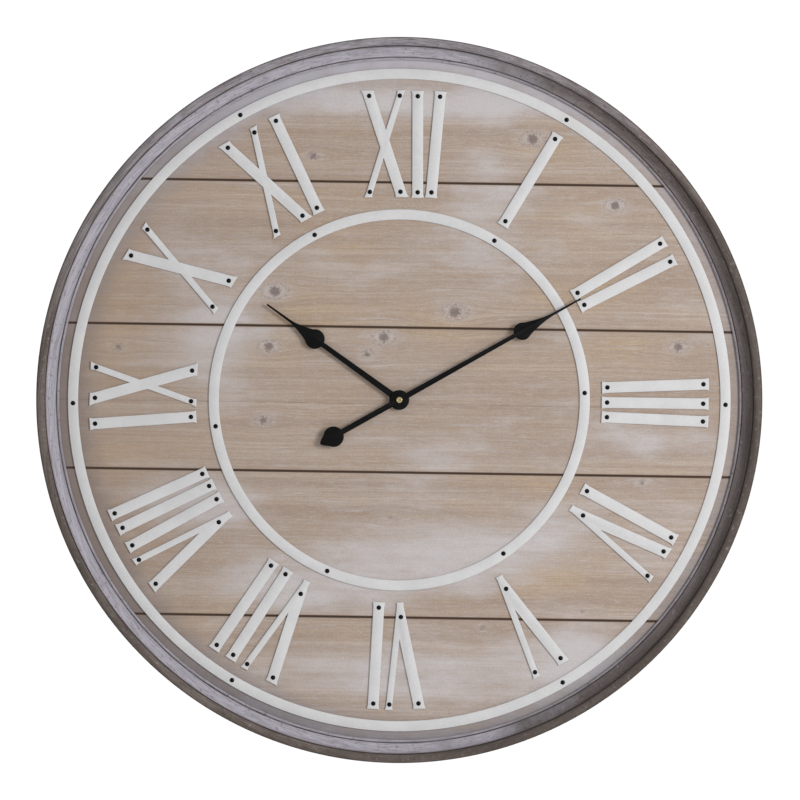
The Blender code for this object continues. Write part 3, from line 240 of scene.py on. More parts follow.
class Finish:
    """A material in the making: it adds nodes, and links what it is given to the shader."""

    def __init__(self, name, **shader_numbers):
        self.material = bpy.data.materials.new(name)
        self.material.use_nodes = True
        self.tree = self.material.node_tree
        self.shader = self.tree.nodes["Principled BSDF"]
        for socket, number in shader_numbers.items():
            self.shader.inputs[socket.replace("_", " ")].default_value = number
        self.place = self.node("ShaderNodeTexCoord", output="Object")
        split = {"Vector": self.place}
        self.x = self.node("ShaderNodeSeparateXYZ", None, split, "X")
        self.y = self.node("ShaderNodeSeparateXYZ", None, split, "Y")
        self.z = self.node("ShaderNodeSeparateXYZ", None, split, "Z")

    def node(self, kind, settings=None, sockets=None, output=0):
        made = self.tree.nodes.new(kind)
        for setting, value in (settings or {}).items():
            setattr(made, setting, value)
        for socket, value in (sockets or {}).items():
            if isinstance(value, Wire):
                self.tree.links.new(value.socket, made.inputs[socket])
            else:
                made.inputs[socket].default_value = value
        return Wire(self, made.outputs[output])

    def point(self, x, y, z):
        return self.node("ShaderNodeCombineXYZ", None, {"X": x, "Y": y, "Z": z})

    def noise(self, where, scale, detail=3.0, roughness=0.5, distortion=0.0):
        numbers = {"Scale": scale, "Detail": detail, "Roughness": roughness, "Distortion": distortion}
        return self.node("ShaderNodeTexNoise", None, {"Vector": where, **numbers}, "Fac")

    def grade(self, value, low, high, first=0.0, last=1.0):
        """A value between low and high, eased into the range from first to last."""
        limits = {"From Min": low, "From Max": high, "To Min": first, "To Max": last}
        smooth = {"interpolation_type": "SMOOTHSTEP"}
        return self.node("ShaderNodeMapRange", smooth, {"Value": value, **limits}, "Result")

    def mix(self, share, first, second):
        return self.node("ShaderNodeMix", {"data_type": "RGBA"}, {0: share, 6: first, 7: second}, 2)

    def spot(self, across, up, wide, high, x=None, z=None):
        """1 at a place on the dial, falling softly to 0 about it."""
        right = ((x or self.x) - across) / wide
        above = ((z or self.z) - up) / high
        return right.math("EXPONENT", 0 - (right * right + above * above))

    def feed(self, socket, wire):
        self.tree.links.new(wire.socket, self.shader.inputs[socket])

    def emboss(self, height, depth, strength=1.0):
        """Raises the surface where the height is 1, by that depth."""
        sockets = {"Height": height, "Distance": depth, "Strength": strength}
        self.feed("Normal", self.node("ShaderNodeBump", None, sockets, "Normal"))


def coat(piece, material):
    piece.data.materials.clear()
    piece.data.materials.append(material)
    for face in piece.data.polygons:
        face.material_index = 0


# %% [markdown]
# ## Limed boards
# The dial is soft wood that was stained tan, brushed with thin lime wash and rubbed back, so
# that pale grey stays in the pores and in loose patches. Grain could be a picture of a board,
# but a calculation never repeats and has any size. Noise stretched along X gives the streaks.
# A knot parts the grain: near it the streaks are read from nearer the knot's own height, so
# they spread round it.

# %% Where the boards' knots, lime and stain lie
# Each knot: x, z, radius and darkness
KNOTS = (
    (0.060, 0.098, 0.0095, 0.85), (-0.139, 0.118, 0.0080, 1.0), (-0.018, 0.069, 0.0078, 0.9),
    (-0.145, 0.057, 0.0072, 0.9), (-0.036, 0.050, 0.0055, 0.7), (-0.150, -0.025, 0.0064, 0.8),
    (0.235, 0.218, 0.0066, 1.0), (0.307, 0.063, 0.0068, 0.9), (0.269, -0.087, 0.0050, 0.6),
    (0.143, 0.290, 0.0085, 0.9), (-0.099, 0.268, 0.0060, 0.7), (-0.311, 0.054, 0.0050, 0.8),
    (0.096, -0.250, 0.0070, 0.45), (0.205, -0.230, 0.0060, 0.45), (-0.009, -0.129, 0.0060, 0.4),
)
# Each patch: x, z, half width, half height and strength
LIME_PATCHES = (
    (-0.235, -0.112, 0.075, 0.030, 1.0), (0.092, 0.205, 0.050, 0.070, 0.65),
    (0.060, -0.165, 0.150, 0.038, 1.0), (-0.155, -0.205, 0.060, 0.028, 0.9),
    (0.205, -0.285, 0.070, 0.035, 0.9), (-0.215, 0.040, 0.055, 0.045, 0.7),
    (0.290, -0.155, 0.045, 0.040, 0.35), (0.100, 0.325, 0.110, 0.022, 0.45),
    (0.055, -0.060, 0.070, 0.035, 0.6), (-0.030, -0.215, 0.080, 0.030, 0.6),
    (0.250, -0.040, 0.080, 0.030, 0.5), (-0.060, 0.330, 0.150, 0.022, 0.8),
    (-0.240, 0.165, 0.060, 0.025, 0.5), (0.190, -0.120, 0.060, 0.020, 0.3),
    (0.000, -0.300, 0.190, 0.035, 0.9), (-0.205, 0.090, 0.060, 0.045, 0.7),
)
STAIN_PATCHES = (
    (-0.105, 0.082, 0.050, 0.030, 1.0), (0.045, 0.075, 0.050, 0.022, 0.8),
    (0.245, 0.065, 0.070, 0.020, 0.8), (0.190, 0.195, 0.055, 0.055, 0.7),
    (0.155, -0.200, 0.045, 0.022, 1.0), (-0.060, 0.165, 0.060, 0.045, 0.6),
    (-0.310, -0.068, 0.060, 0.016, 1.0), (-0.075, -0.055, 0.080, 0.025, 0.5),
    (-0.320, 0.100, 0.050, 0.120, 0.8), (0.150, 0.275, 0.050, 0.016, 0.8),
    (-0.215, -0.250, 0.060, 0.030, 0.6), (0.130, -0.085, 0.080, 0.014, 0.5),
    (-0.180, 0.225, 0.100, 0.012, 0.7), (0.180, 0.120, 0.090, 0.018, 0.5),
)
TAN = shade(179, 162, 148)
TAN_DARK = shade(150, 128, 110)
TAN_GOLD = shade(176, 150, 118)
LIME = shade(196, 192, 194)
KNOT_BROWN = shade(92, 76, 72)
GRIME = shade(82, 65, 53)
RIM_DARK = shade(104, 100, 104)
RIM_PALE = shade(188, 187, 198)
RAW_PINE = shade(218, 188, 148)
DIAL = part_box("plank_3")[0].y
UNDER_FRAME = (352 * MM, 395 * MM)  # where the stain and painted shade from the frame darken the boards, from the axis


def near(things, low, high, reach):
    return [thing for thing in things if low - reach < thing[1] < high + reach]


# %% One board's material
def limed_board(name, low, high, seed):
    board = Finish(name, Roughness=0.75)
    x, y, z = board.x, board.y, board.z
    knots = near(KNOTS, low, high, 0.03)
    grain = z
    core = x * 0
    halo = x * 0
    for across, up, radius, dark in knots:
        grain = grain - (z - up) * board.spot(across, up, radius * 4.5, radius * 1.9) * 0.85
        core = core + board.spot(across, up, radius * 0.85, radius * 0.78) * dark
        halo = halo + board.spot(across, up, radius * 2.6, radius * 1.5) * dark
    wander = board.noise(board.point(x * 2.2, seed, z * 5), 1, 2) - 0.5
    grain = grain + wander * 0.012
    bands = board.noise(board.point(x * 1.3, seed, grain * 60), 1, 4, 0.55)
    lines = board.noise(board.point(x * 5, seed + 7, grain * 420), 1, 3, 0.6)
    fibres = board.noise(board.point(x * 60, seed, grain * 1800), 1, 2, 0.6)
    speckle = board.noise(board.place, 900, 2, 0.7)
    cloud = board.noise(board.point(x * 7, seed + 3, z * 16), 1, 5, 0.6)
    scrub = board.noise(board.point(x * 14, seed + 5, grain * 70), 1, 4, 0.65)
    brushed = board.noise(board.point(x * 9, seed + 9, grain * 240), 1, 4, 0.7)

    lime = board.grade(cloud, 0.4, 0.72) * 0.42
    for across, up, wide, tall, strength in near(LIME_PATCHES, low, high, 0.05):
        lime = lime + board.spot(across, up, wide, tall) * strength * 0.75
    stain = board.grade(cloud, 0.55, 0.3) * 0.4
    for across, up, wide, tall, strength in near(STAIN_PATCHES, low, high, 0.05):
        stain = stain + board.spot(across, up, wide, tall) * strength * 0.7

    colour = board.mix(board.grade(bands, 0.3, 0.7), TAN_DARK, TAN)
    colour = board.mix(board.grade(stain * (0.5 + scrub), 0.1, 0.85, 0, 0.95), colour, TAN_GOLD)
    colour = board.mix(board.grade(lines, 0.58, 0.4, 0, 0.62), colour, TAN_DARK)
    colour = board.mix(board.grade(brushed, 0.52, 0.7, 0, 0.4), colour, TAN_GOLD)
    colour = board.mix(board.grade(brushed, 0.46, 0.3, 0, 0.35), colour, LIME)
    colour = board.mix(board.grade(fibres, 0.52, 0.75, 0, 0.6), colour, LIME)
    colour = board.mix(board.grade(fibres, 0.46, 0.25, 0, 0.62), colour, TAN_DARK)
    lime_left = board.grade(lime * (0.35 + scrub * 1.3), 0.12, 0.95, 0, 0.9)
    colour = board.mix(lime_left, colour, LIME)
    colour = board.mix(board.grade(halo, 0.1, 1.1, 0, 0.5), colour, LIME)
    cracks = board.noise(board.place, 420, 3, 0.6)
    knotty = board.grade(core + (cracks - 0.5) * 1.1, 0.2, 0.75, 0, 0.85) * board.grade(core, 0.05, 0.2)
    colour = board.mix(knotty, colour, KNOT_BROWN)
    ringed = board.grade(halo, 0.45, 0.6) * board.grade(halo, 0.78, 0.62)
    colour = board.mix(ringed * board.grade(cracks, 0.42, 0.62, 0, 0.45), colour, KNOT_BROWN)
    colour = board.mix(board.grade(speckle, 0.35, 0.7, 0.0, 0.2), colour, LIME)
    colour = board.mix(board.grade(speckle, 0.62, 0.3, 0.0, 0.22), colour, TAN_DARK)

    # Grime lies along the joints. Near the frame the boards are darker, most of all at left: stain with
    # painted shade from the frame
    ragged = board.noise(board.point(x * 30, seed, z * 30), 1, 4, 0.7)
    joint = board.node("ShaderNodeMath", {"operation": "MINIMUM"}, {0: z - low, 1: high - z})
    colour = board.mix(board.grade(joint + ragged * 0.006, 0.0075, 0.0025, 0, 0.5), colour, TAN_DARK)
    out = board.node("ShaderNodeMath", {"operation": "SQRT"}, {0: x * x + z * z})
    # Stain with painted shade: near the frame the boards are palest at the top and darker at the sides and
    # bottom, most of all at left
    rim = board.grade(out + ragged * 0.03 - x * 0.04, *UNDER_FRAME, 0, 0.9)
    up = z / out
    rim_stain_and_shade = up * up * 0.42 + up * 0.3 + x / out * 0.09 + ragged * 0.6 - 0.22
    colour = board.mix(rim, colour, board.mix(rim_stain_and_shade, RIM_DARK, RIM_PALE))
    # Painted shade: the left side of the dial is darkened as if less light reached it from the lamp at right
    painted_shade_left = board.grade(x + ragged * 0.05, -0.08, -0.36, 0, 0.4)
    colour = board.mix(painted_shade_left, colour, TAN_DARK)
    colour = board.mix(board.grade(joint, 0.0016, 0.001), colour, GRIME)
    if low < 0 < high:
        seam = board.spot(0, -0.0045, 1, 0.0005) * board.grade(ragged, 0.3, 0.6)
        colour = board.mix(seam * 0.45, colour, GRIME)
    behind = board.grade(y, DIAL + 0.8 * MM, DIAL + 1.2 * MM)
    pine = board.mix(board.grade(bands, 0.3, 0.7), shade(190, 154, 112), RAW_PINE)
    pine = board.mix(board.grade(lines, 0.62, 0.4, 0, 0.45), pine, shade(168, 130, 90))
    pine = board.mix(board.grade(core, 0.2, 0.6, 0, 0.7), pine, shade(120, 76, 44))
    pine = board.mix(board.grade(joint, 0.0012, 0.0006), pine, shade(84, 60, 40))
    board.feed("Base Color", board.mix(behind, colour, pine))
    board.feed("Roughness", board.grade(lime_left + lines * 0.3, 0, 1.2, 0.62, 0.9))
    height = lines * 0.6 + fibres * 0.25 + speckle * 0.3 + bands * 0.4 - core * 0.5
    board.emboss(height, 0.45 * MM, 0.55)
    return board.material


for number in range(1, 6):
    plank = frame["nodes"][f"plank_{number}"]
    low, high = (corner.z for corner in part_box(plank.name))
    if number == 1:
        high = 1
    if number == 5:
        low = -1
    coat(plank, limed_board(f"limed_board_{number}", low, high, 11.0 * number))
print("five limed boards")

# %% [markdown]
# The boards are butt jointed. Dark glue was squeezed up each joint and wiped back with a finger,
# which leaves a hollow line a little below the boards' faces and lets no light through.

# %% Glue in the joints
def glue_line(name, low, high, reach, front, back):
    """A thin strip along X, hollow in front."""
    middle = (low + high) / 2
    select_only()
    bpy.ops.mesh.primitive_cube_add(size=1, location=(0, (front + back) / 2, middle))
    strip = bpy.context.object
    strip.scale = (2 * reach, back - front, high - low)
    bpy.ops.object.transform_apply(location=True, rotation=True, scale=True)
    edit(strip)
    bpy.ops.mesh.bisect(plane_co=(0, 0, middle), plane_no=(0, 0, 1))
    bpy.ops.mesh.select_all(action="DESELECT")
    bpy.ops.object.mode_set(mode="OBJECT")
    for point in strip.data.vertices:
        halfway = abs(point.co.z - middle) < 0.1 * (high - low)
        point.select = halfway and point.co.y < (front + back) / 2
    bpy.ops.object.mode_set(mode="EDIT")
    bpy.ops.transform.translate(value=(0, 0.4 * (high - low), 0))
    return settle(strip, name)


glue = Finish("dark_glue", Roughness=0.8)
streaks = glue.noise(glue.point(glue.x * 40, glue.y * 400, glue.z * 400), 1, 3, 0.6)
glue.feed("Base Color", glue.mix(streaks, shade(54, 43, 36), shade(78, 63, 52)))
glue.emboss(streaks, 0.05 * MM, 0.5)
DIAL_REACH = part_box("plank_3")[1].x - 2 * MM
for number in range(1, 5):
    edges = sorted(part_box(f"plank_{number}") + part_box(f"plank_{number + 1}"), key=lambda corner: corner.z)
    lower, upper = edges[1].z + 0.03 * MM, edges[2].z - 0.03 * MM
    plank_front, plank_back = (corner.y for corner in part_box(f"plank_{number}"))
    half = math.sqrt(DIAL_REACH**2 - max(abs(lower), abs(upper)) ** 2)
    strip = glue_line(f"glue_{number}", lower, upper, half, plank_front + 1 * MM, plank_back - 1 * MM)
    coat(strip, glue.material)
    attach(strip, "clock")
    tell(strip, "drawn along its joint")

# %% [markdown]
# ## The frame
# The frame is a ring with a rounded rim, a cove and a small nose that overlaps the dial. The
# solid ring has flats that would show in the light, so a finer one is turned to stand for it,
# with a shallow quirk cut where the rim and the nose meet the cove. Its back is let in for the
# keyhole plate, with a Boolean as a chisel would do it.

# %% The frame's profile
FRAME_LOW, FRAME_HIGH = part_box("frame_ring")
RADIUS = FRAME_HIGH.x
FRONT = FRAME_LOW.y
BACK = FRAME_HIGH.y
RIM_WIDTH = 9.5 * MM
RIM_RISE = 3 * MM
COVE_WIDTH = 12 * MM
NOSE_WIDTH = 3.5 * MM
NOSE_HEIGHT = 3 * MM
REBATE = 6 * MM
SEAT = 0.3 * MM
SIGHT = RADIUS - RIM_WIDTH - COVE_WIDTH - NOSE_WIDTH
COVE_FOOT = SIGHT + NOSE_WIDTH
COVE_EDGE = COVE_FOOT + COVE_WIDTH


def arc(centre, wide, high, start, end, steps):
    """Points on an ellipse between two angles, in degrees from the outward direction."""
    points = []
    for step in range(steps + 1):
        angle = math.radians(start + (end - start) * step / steps)
        points.append((centre[0] + wide * math.cos(angle), centre[1] + high * math.sin(angle)))
    return points


def frame_profile():
    rim_foot = FRONT + RIM_RISE
    rim = arc((RADIUS - RIM_WIDTH / 2, rim_foot), RIM_WIDTH / 2, -RIM_RISE, 180, 0, 14)
    outside = [
        (RADIUS, rim_foot + 2 * MM), (RADIUS, BACK - 1.5 * MM), (RADIUS - 0.5 * MM, BACK - 0.5 * MM),
        (RADIUS - 1.5 * MM, BACK), (SIGHT + REBATE + 0.5 * MM, BACK), (SIGHT + REBATE, BACK - 0.5 * MM),
        (SIGHT + REBATE, DIAL - SEAT), (SIGHT + 0.3 * MM, DIAL - SEAT),
    ]
    nose_face = DIAL - NOSE_HEIGHT
    nose = arc((SIGHT + 0.9 * MM, nose_face + 0.9 * MM), 0.9 * MM, -0.9 * MM, 180, 90, 4)
    nose += arc((COVE_FOOT - 1.4 * MM, nose_face + 0.6 * MM), 0.6 * MM, -0.6 * MM, 90, 0, 3)
    quirk_low = [(COVE_FOOT - 0.5 * MM, nose_face + 1.0 * MM), (COVE_FOOT, nose_face)]
    cove_top = FRONT + RIM_RISE + 1 * MM
    cove_low = nose_face - 1 * MM
    cove = arc((COVE_FOOT, cove_top), COVE_WIDTH - 0.7 * MM, cove_low - cove_top, 90, 0, 14)
    quirk_high = [(COVE_EDGE - 0.3 * MM, cove_top + 0.6 * MM), (COVE_EDGE, rim_foot + 0.2 * MM)]
    return rim + outside + nose + quirk_low + cove + quirk_high


wooden_frame = turned("moulded_frame", frame_profile(), 240, 40)

# %% Letting in the keyhole plate
def chisel(piece, low, high):
    """Cuts the box between two corners out of a piece."""
    select_only()
    bpy.ops.mesh.primitive_cube_add(size=1, location=[(a + b) / 2 for a, b in zip(low, high)])
    block = bpy.context.object
    block.scale = [b - a for a, b in zip(low, high)]
    bpy.ops.object.transform_apply(location=True, rotation=True, scale=True)
    select_only(piece)
    cut = piece.modifiers.new("cut", "BOOLEAN")
    cut.operation = "DIFFERENCE"
    cut.object = block
    bpy.ops.object.modifier_apply(modifier=cut.name)
    bpy.data.objects.remove(block)


plate_low, plate_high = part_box("hanger_plate")
plate_middle = (plate_low.z + plate_high.z) / 2
chisel(
    wooden_frame,
    (plate_low.x - SEAT, plate_low.y - SEAT, plate_low.z - SEAT),
    (plate_high.x + SEAT, BACK + 5 * MM, plate_high.z + SEAT),
)
chisel(
    wooden_frame,
    (-8 * MM, BACK - 8 * MM, plate_middle - 5.4 * MM),
    (8 * MM, BACK + 5 * MM, plate_middle + 5.4 * MM),
)
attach(wooden_frame, "clock")
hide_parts("frame_ring")
tell(wooden_frame, "let in for its plate")

# %% [markdown]
# The frame's stain is grey-brown and worn. Lime wash lies thick in the cove and has gone from the
# rim, and each corner is darkened by dirt and by painted shade. All of this follows the ring, so
# the material reads how far a point is from the clock's axis, and its grain runs round the ring:
# the direction from the axis changes slowly along the grain and the radius fast across it.

# %% The frame's material
# Each dark line in a corner, dirt with painted shade: its radius, half width and strength
CORNER_DIRT_AND_SHADE_LINES = (
    (COVE_FOOT - 0.2 * MM, 0.5 * MM, 0.9), (COVE_EDGE - 0.2 * MM, 0.5 * MM, 0.9),
    (SIGHT - 0.1 * MM, 0.4 * MM, 0.7),
)


def worn_frame(name):
    wood = Finish(name, Roughness=0.7)
    x, y, z = wood.x, wood.y, wood.z
    out = wood.node("ShaderNodeMath", {"operation": "SQRT"}, {0: x * x + z * z})
    streaks = wood.noise(wood.point(x / out * 26, y * 520, z / out * 26 + out * 900), 1, 4, 0.6)
    broad = wood.noise(wood.point(x / out * 5, y * 60, z / out * 5 + out * 90), 1, 4, 0.6)
    chips = wood.noise(wood.place, 260, 4, 0.65)
    blotch = wood.noise(wood.place, 24, 5, 0.6)

    right = x / out
    up = z / out
    brown = wood.mix(wood.grade(broad, 0.3, 0.7), shade(80, 69, 62), shade(116, 105, 99))
    brown = wood.mix(wood.grade(streaks, 0.6, 0.35, 0, 0.55), brown, shade(66, 54, 47))
    scratches = wood.noise(wood.point(right * 9, y * 1500, up * 9 + out * 2600), 1, 2, 0.6)
    brown = wood.mix(wood.grade(scratches, 0.6, 0.74, 0, 0.5), brown, shade(158, 150, 148))
    washed = wood.mix(wood.grade(streaks, 0.3, 0.65), shade(140, 135, 144), shade(178, 174, 184))
    # The wash is thick at left and nearly gone at right; the rim keeps a little of it at the top
    patchy = blotch * 0.6 + streaks * 0.4 - 0.5
    thick = wood.grade(right + patchy * 1.1, 0.55, 0.08)
    in_cove = wood.grade(out, COVE_FOOT - 1 * MM, COVE_FOOT + 1 * MM)
    in_cove = in_cove * wood.grade(out, COVE_EDGE - 0.3 * MM, COVE_EDGE - 2 * MM)
    on_nose = wood.grade(out, COVE_FOOT, COVE_FOOT - 0.7 * MM) * 0.75
    on_rim = wood.grade(out, COVE_EDGE - 1 * MM, COVE_EDGE + 0.5 * MM)
    on_rim = on_rim * wood.grade(y, FRONT + 7 * MM, FRONT + 3.5 * MM)
    left_on_rim = wood.grade(up - right * 0.2 + patchy * 1.4 + chips * 0.5, 0.55, 1.6, 0.02, 0.75)
    wash = in_cove * (0.12 + thick * 0.82) + on_nose * (0.62 + thick * 0.5) + on_rim * left_on_rim
    low_right = wood.grade(right * 0.8 - up * 0.5, 0.15, 0.8, 0, 0.6)
    colour = wood.mix(wash, wood.mix(low_right, brown, shade(60, 50, 44)), washed)
    colour = wood.mix(wood.grade(chips, 0.57, 0.7, 0, 0.6), colour, shade(66, 54, 46))
    colour = wood.mix(wood.grade(chips, 0.4, 0.28, 0, 0.4), colour, shade(170, 165, 166))

    # Dirt and painted shade darken the corners of the moulding, on its front only
    front_side = wood.grade(y, DIAL + 2 * MM, DIAL - 1 * MM)
    dirt_and_shade = x * 0
    for radius, width, strength in CORNER_DIRT_AND_SHADE_LINES:
        away = (out - radius) / width
        dirt_and_shade = dirt_and_shade + away.math("EXPONENT", 0 - away * away) * strength
    dirt_and_shade = dirt_and_shade * front_side * wood.grade(blotch + chips * 0.5, 0.95, 0.6, 0.45, 1)
    colour = wood.mix(wood.grade(dirt_and_shade, 0.1, 0.9, 0, 0.85), colour, shade(46, 38, 34))
    edge = wood.grade(out + chips * 0.6 * MM, RADIUS - 1.4 * MM, RADIUS - 0.4 * MM)
    colour = wood.mix(edge * 0.6, colour, shade(62, 48, 40))
    raw = wood.grade(y, BACK - 0.4 * MM, BACK - 0.1 * MM)
    colour = wood.mix(raw * 0.5, colour, shade(120, 98, 78))
    wood.feed("Base Color", colour)
    wood.feed("Roughness", wood.grade(chips + streaks * 0.4, 0.4, 1.0, 0.6, 0.85))
    wood.emboss(streaks * 0.7 + chips * 0.6 + blotch * 0.3 + scratches * 0.3, 0.5 * MM, 0.8)
    return wood.material


coat(wooden_frame, worn_frame("worn_grey_stain"))


# %% [markdown]
# ## Plain finishes
# The other finishes are simpler: a colour that varies a little, a roughness that varies with
# it, and a fine bump. What sets them apart is scale. Enamel has broad soft waves and a few
# rubbed spots, moulded plastic a fine even texture, and brass a finer one with a few dark spots.

# %% The finishes of the metal, plastic and other pieces
def plain_finish(name, low, high, scale, rough, metal=0.0, depth=0.05, wear=None, gloss=0.5):
    """Two shades mixed by noise. Rough is its least and greatest roughness, depth in mm."""
    finish = Finish(name, Metallic=metal, Specular_IOR_Level=gloss)
    broad = finish.noise(finish.place, scale, 4, 0.6)
    fine = finish.noise(finish.place, scale * 9, 3, 0.65)
    colour = finish.mix(finish.grade(broad * 0.6 + fine * 0.4, 0.35, 0.65), low, high)
    if wear:
        spots = finish.noise(finish.place, scale * 3.1, 5, 0.7)
        colour = finish.mix(finish.grade(spots, 0.62, 0.74, 0, 0.55), colour, wear)
    finish.feed("Base Color", colour)
    finish.feed("Roughness", finish.grade(fine * 0.5 + broad * 0.5, 0.35, 0.65, *rough))
    finish.emboss(broad * 0.7 + fine * 0.3, depth * MM, 0.6)
    return finish.material


def wood_along_z(name, pale, dark):
    """Raw sawn softwood whose grain runs up and down."""
    wood = Finish(name, Roughness=0.8)
    grain = wood.noise(wood.point(wood.x * 60, wood.y * 60, wood.z * 1.6), 1, 4, 0.55)
    fibre = wood.noise(wood.point(wood.x * 900, wood.y * 900, wood.z * 14), 1, 3, 0.6)
    colour = wood.mix(wood.grade(grain, 0.35, 0.65), dark, pale)
    wood.feed("Base Color", wood.mix(wood.grade(fibre, 0.6, 0.35, 0, 0.4), colour, dark))
    wood.feed("Roughness", wood.grade(fibre, 0.3, 0.7, 0.7, 0.9))
    wood.emboss(grain * 0.4 + fibre * 0.6, 0.2 * MM, 0.5)
    return wood.material


def banded(name, along, step, pale, dark, rough, metal=0.0):
    """Fine turns lying side by side along an axis, as on a coil of wire."""
    finish = Finish(name, Metallic=metal)
    place = {"x": finish.x, "z": finish.z}[along]
    wave = finish.node("ShaderNodeMath", {"operation": "SINE"}, {0: place * (2 * math.pi / step)})
    turns = wave * 0.5 + 0.5
    stray = finish.noise(finish.place, 1500, 2, 0.6)
    finish.feed("Base Color", finish.mix(finish.grade(turns + stray * 0.4, 0, 1.2), dark, pale))
    finish.feed("Roughness", finish.grade(stray, 0.3, 0.7, *rough))
    finish.emboss(turns, 0.08 * MM, 0.8)
    return finish.material


def battery_jacket(name):
    """A plain printed sleeve in two colours, with bare metal at both ends."""
    low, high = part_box("battery")
    sleeve = Finish(name, Coat_Weight=0.3, Coat_Roughness=0.15)
    scuffs = sleeve.noise(sleeve.point(sleeve.x * 300, sleeve.y * 40, sleeve.z * 40), 1, 4, 0.6)
    green = sleeve.mix(sleeve.grade(scuffs, 0.4, 0.7), shade(38, 96, 70), shade(52, 118, 88))
    grey = sleeve.mix(sleeve.grade(scuffs, 0.4, 0.7), shade(178, 180, 178), shade(205, 206, 204))
    band = sleeve.grade(sleeve.x, high.x - 14 * MM, high.x - 13.8 * MM)
    colour = sleeve.mix(band, green, grey)
    ends = sleeve.grade(sleeve.x, high.x - 2.4 * MM, high.x - 2.3 * MM)
    ends = ends + sleeve.grade(sleeve.x, low.x + 0.8 * MM, low.x + 0.7 * MM)
    sleeve.feed("Base Color", sleeve.mix(ends, colour, shade(188, 186, 180)))
    sleeve.feed("Metallic", ends * 0.9)
    sleeve.feed("Roughness", sleeve.grade(scuffs, 0.3, 0.7, 0.25, 0.45))
    sleeve.emboss(scuffs, 0.03 * MM, 0.5)
    return sleeve.material


FINISHES = {
    "raw_batten_wood": wood_along_z("raw_batten_wood", shade(206, 176, 134), shade(166, 130, 90)),
    "white_enamel": plain_finish(
        "white_enamel", shade(200, 199, 200), shade(208, 207, 208), 40, (0.42, 0.6), 0.0, 0.05,
        wear=shade(188, 185, 184),
    ),
    "black_enamel": plain_finish(
        "black_enamel", shade(7, 7, 8), shade(14, 14, 15), 90, (0.34, 0.5), 0.0, 0.12,
        wear=shade(26, 25, 25), gloss=0.15,
    ),
    "brass": plain_finish(
        "brass", shade(182, 160, 112), shade(222, 206, 164), 260, (0.22, 0.38), 1.0, 0.03,
        wear=shade(150, 128, 84),
    ),
    "steel": plain_finish(
        "steel", shade(150, 151, 153), shade(186, 187, 188), 180, (0.28, 0.46), 1.0, 0.03,
        wear=shade(118, 116, 114),
    ),
    "black_plastic": plain_finish(
        "black_plastic", shade(20, 20, 21), shade(32, 32, 33), 420, (0.42, 0.56), 0.0, 0.05
    ),
    "white_plastic": plain_finish(
        "white_plastic", shade(214, 212, 204), shade(232, 231, 225), 300, (0.35, 0.48), 0.0, 0.03
    ),
    "copper_winding": banded(
        "copper_winding", "x", 0.32 * MM, shade(208, 122, 72), shade(128, 62, 32), (0.3, 0.42), 0.9
    ),
    "circuit_laminate": plain_finish(
        "circuit_laminate", shade(34, 74, 48), shade(52, 98, 62), 500, (0.35, 0.5), 0.0, 0.03,
        wear=shade(120, 112, 70),
    ),
    "black_rubber": plain_finish(
        "black_rubber", shade(24, 24, 24), shade(40, 39, 38), 350, (0.7, 0.85), 0.0, 0.06
    ),
    "battery_wrap": battery_jacket("battery_wrap"),
    "rotor_magnet": plain_finish(
        "rotor_magnet", shade(60, 58, 58), shade(84, 82, 80), 700, (0.35, 0.5), 0.8, 0.03
    ),
}
print(len(FINISHES), "plain finishes")

# %% Coat the solids that stay
slot_of = {row["node"]: row["material_slot"] for row in frame["record"]["subparts"]}
for name, solid in frame["nodes"].items():
    if slot_of[name] in FINISHES:
        coat(solid, FINISHES[slot_of[name]])


def finish_as(piece, slot):
    """Gives a new piece the finish of a material slot."""
    coat(piece, FINISHES[slot])
    return piece


# %% [markdown]
# ## White metal rings and numerals
# The rings and numerals are cut from thin sheet and painted, so their arrises are slightly
# round. A ring is turned from a small rectangle with its front corners taken off. The numerals
# are copies of the solids with their edges eased.

# %% Rings
def radii(node):
    reach = [math.hypot(point.co.x, point.co.z) for point in frame["nodes"][node].data.vertices]
    return min(reach), max(reach)


EASE = 0.35 * MM
for node in ("outer_metal_ring", "inner_metal_ring"):
    inside, outside = radii(node)
    front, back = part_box(node)[0].y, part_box(node)[1].y
    section = [
        (inside, back), (inside, front + EASE), (inside + 0.3 * EASE, front + 0.3 * EASE),
        (inside + EASE, front), (outside - EASE, front), (outside - 0.3 * EASE, front + 0.3 * EASE),
        (outside, front + EASE), (outside, back),
    ]
    ring = turned(f"eased_{node}", section, 180, 60)
    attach(ring, "clock")
    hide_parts(node)
    finish_as(ring, "white_enamel")

# %% Numerals
numerals = [name for name in frame["nodes"] if name.startswith("numeral_")]
for name in numerals:
    finish_as(eased(name, f"eased_{name}", 0.3 * MM), "white_enamel")
print(len(numerals), "numeral strokes eased")

# %% [markdown]
# ## Nails and screws
# Each stroke is held by two or more black nails, and the rings by black screws. A head is a low
# dome, turned once from a short profile, then copied to every place and joined, one piece for
# each numeral and each ring, because they never move apart.

# %% One nail head, copied to its places
def copied(pattern, name, places):
    """One piece made of a pattern's copies, each moved to its place."""
    made = []
    for place in places:
        select_only(pattern)
        bpy.ops.object.duplicate()
        made.append(bpy.context.object)
        made[-1].location = place
    select_only(*made)
    if len(made) > 1:
        bpy.ops.object.join()
    return settle(bpy.context.object, name)


NAIL = ((0, -1.15), (1.0, -1.08), (1.85, -0.78), (2.4, -0.36), (2.62, 0.0), (2.62, 0.1), (0, 0.1))
nail = turned("nail", [(radius * MM, y * MM) for radius, y in NAIL], 14, 50, closed=False)

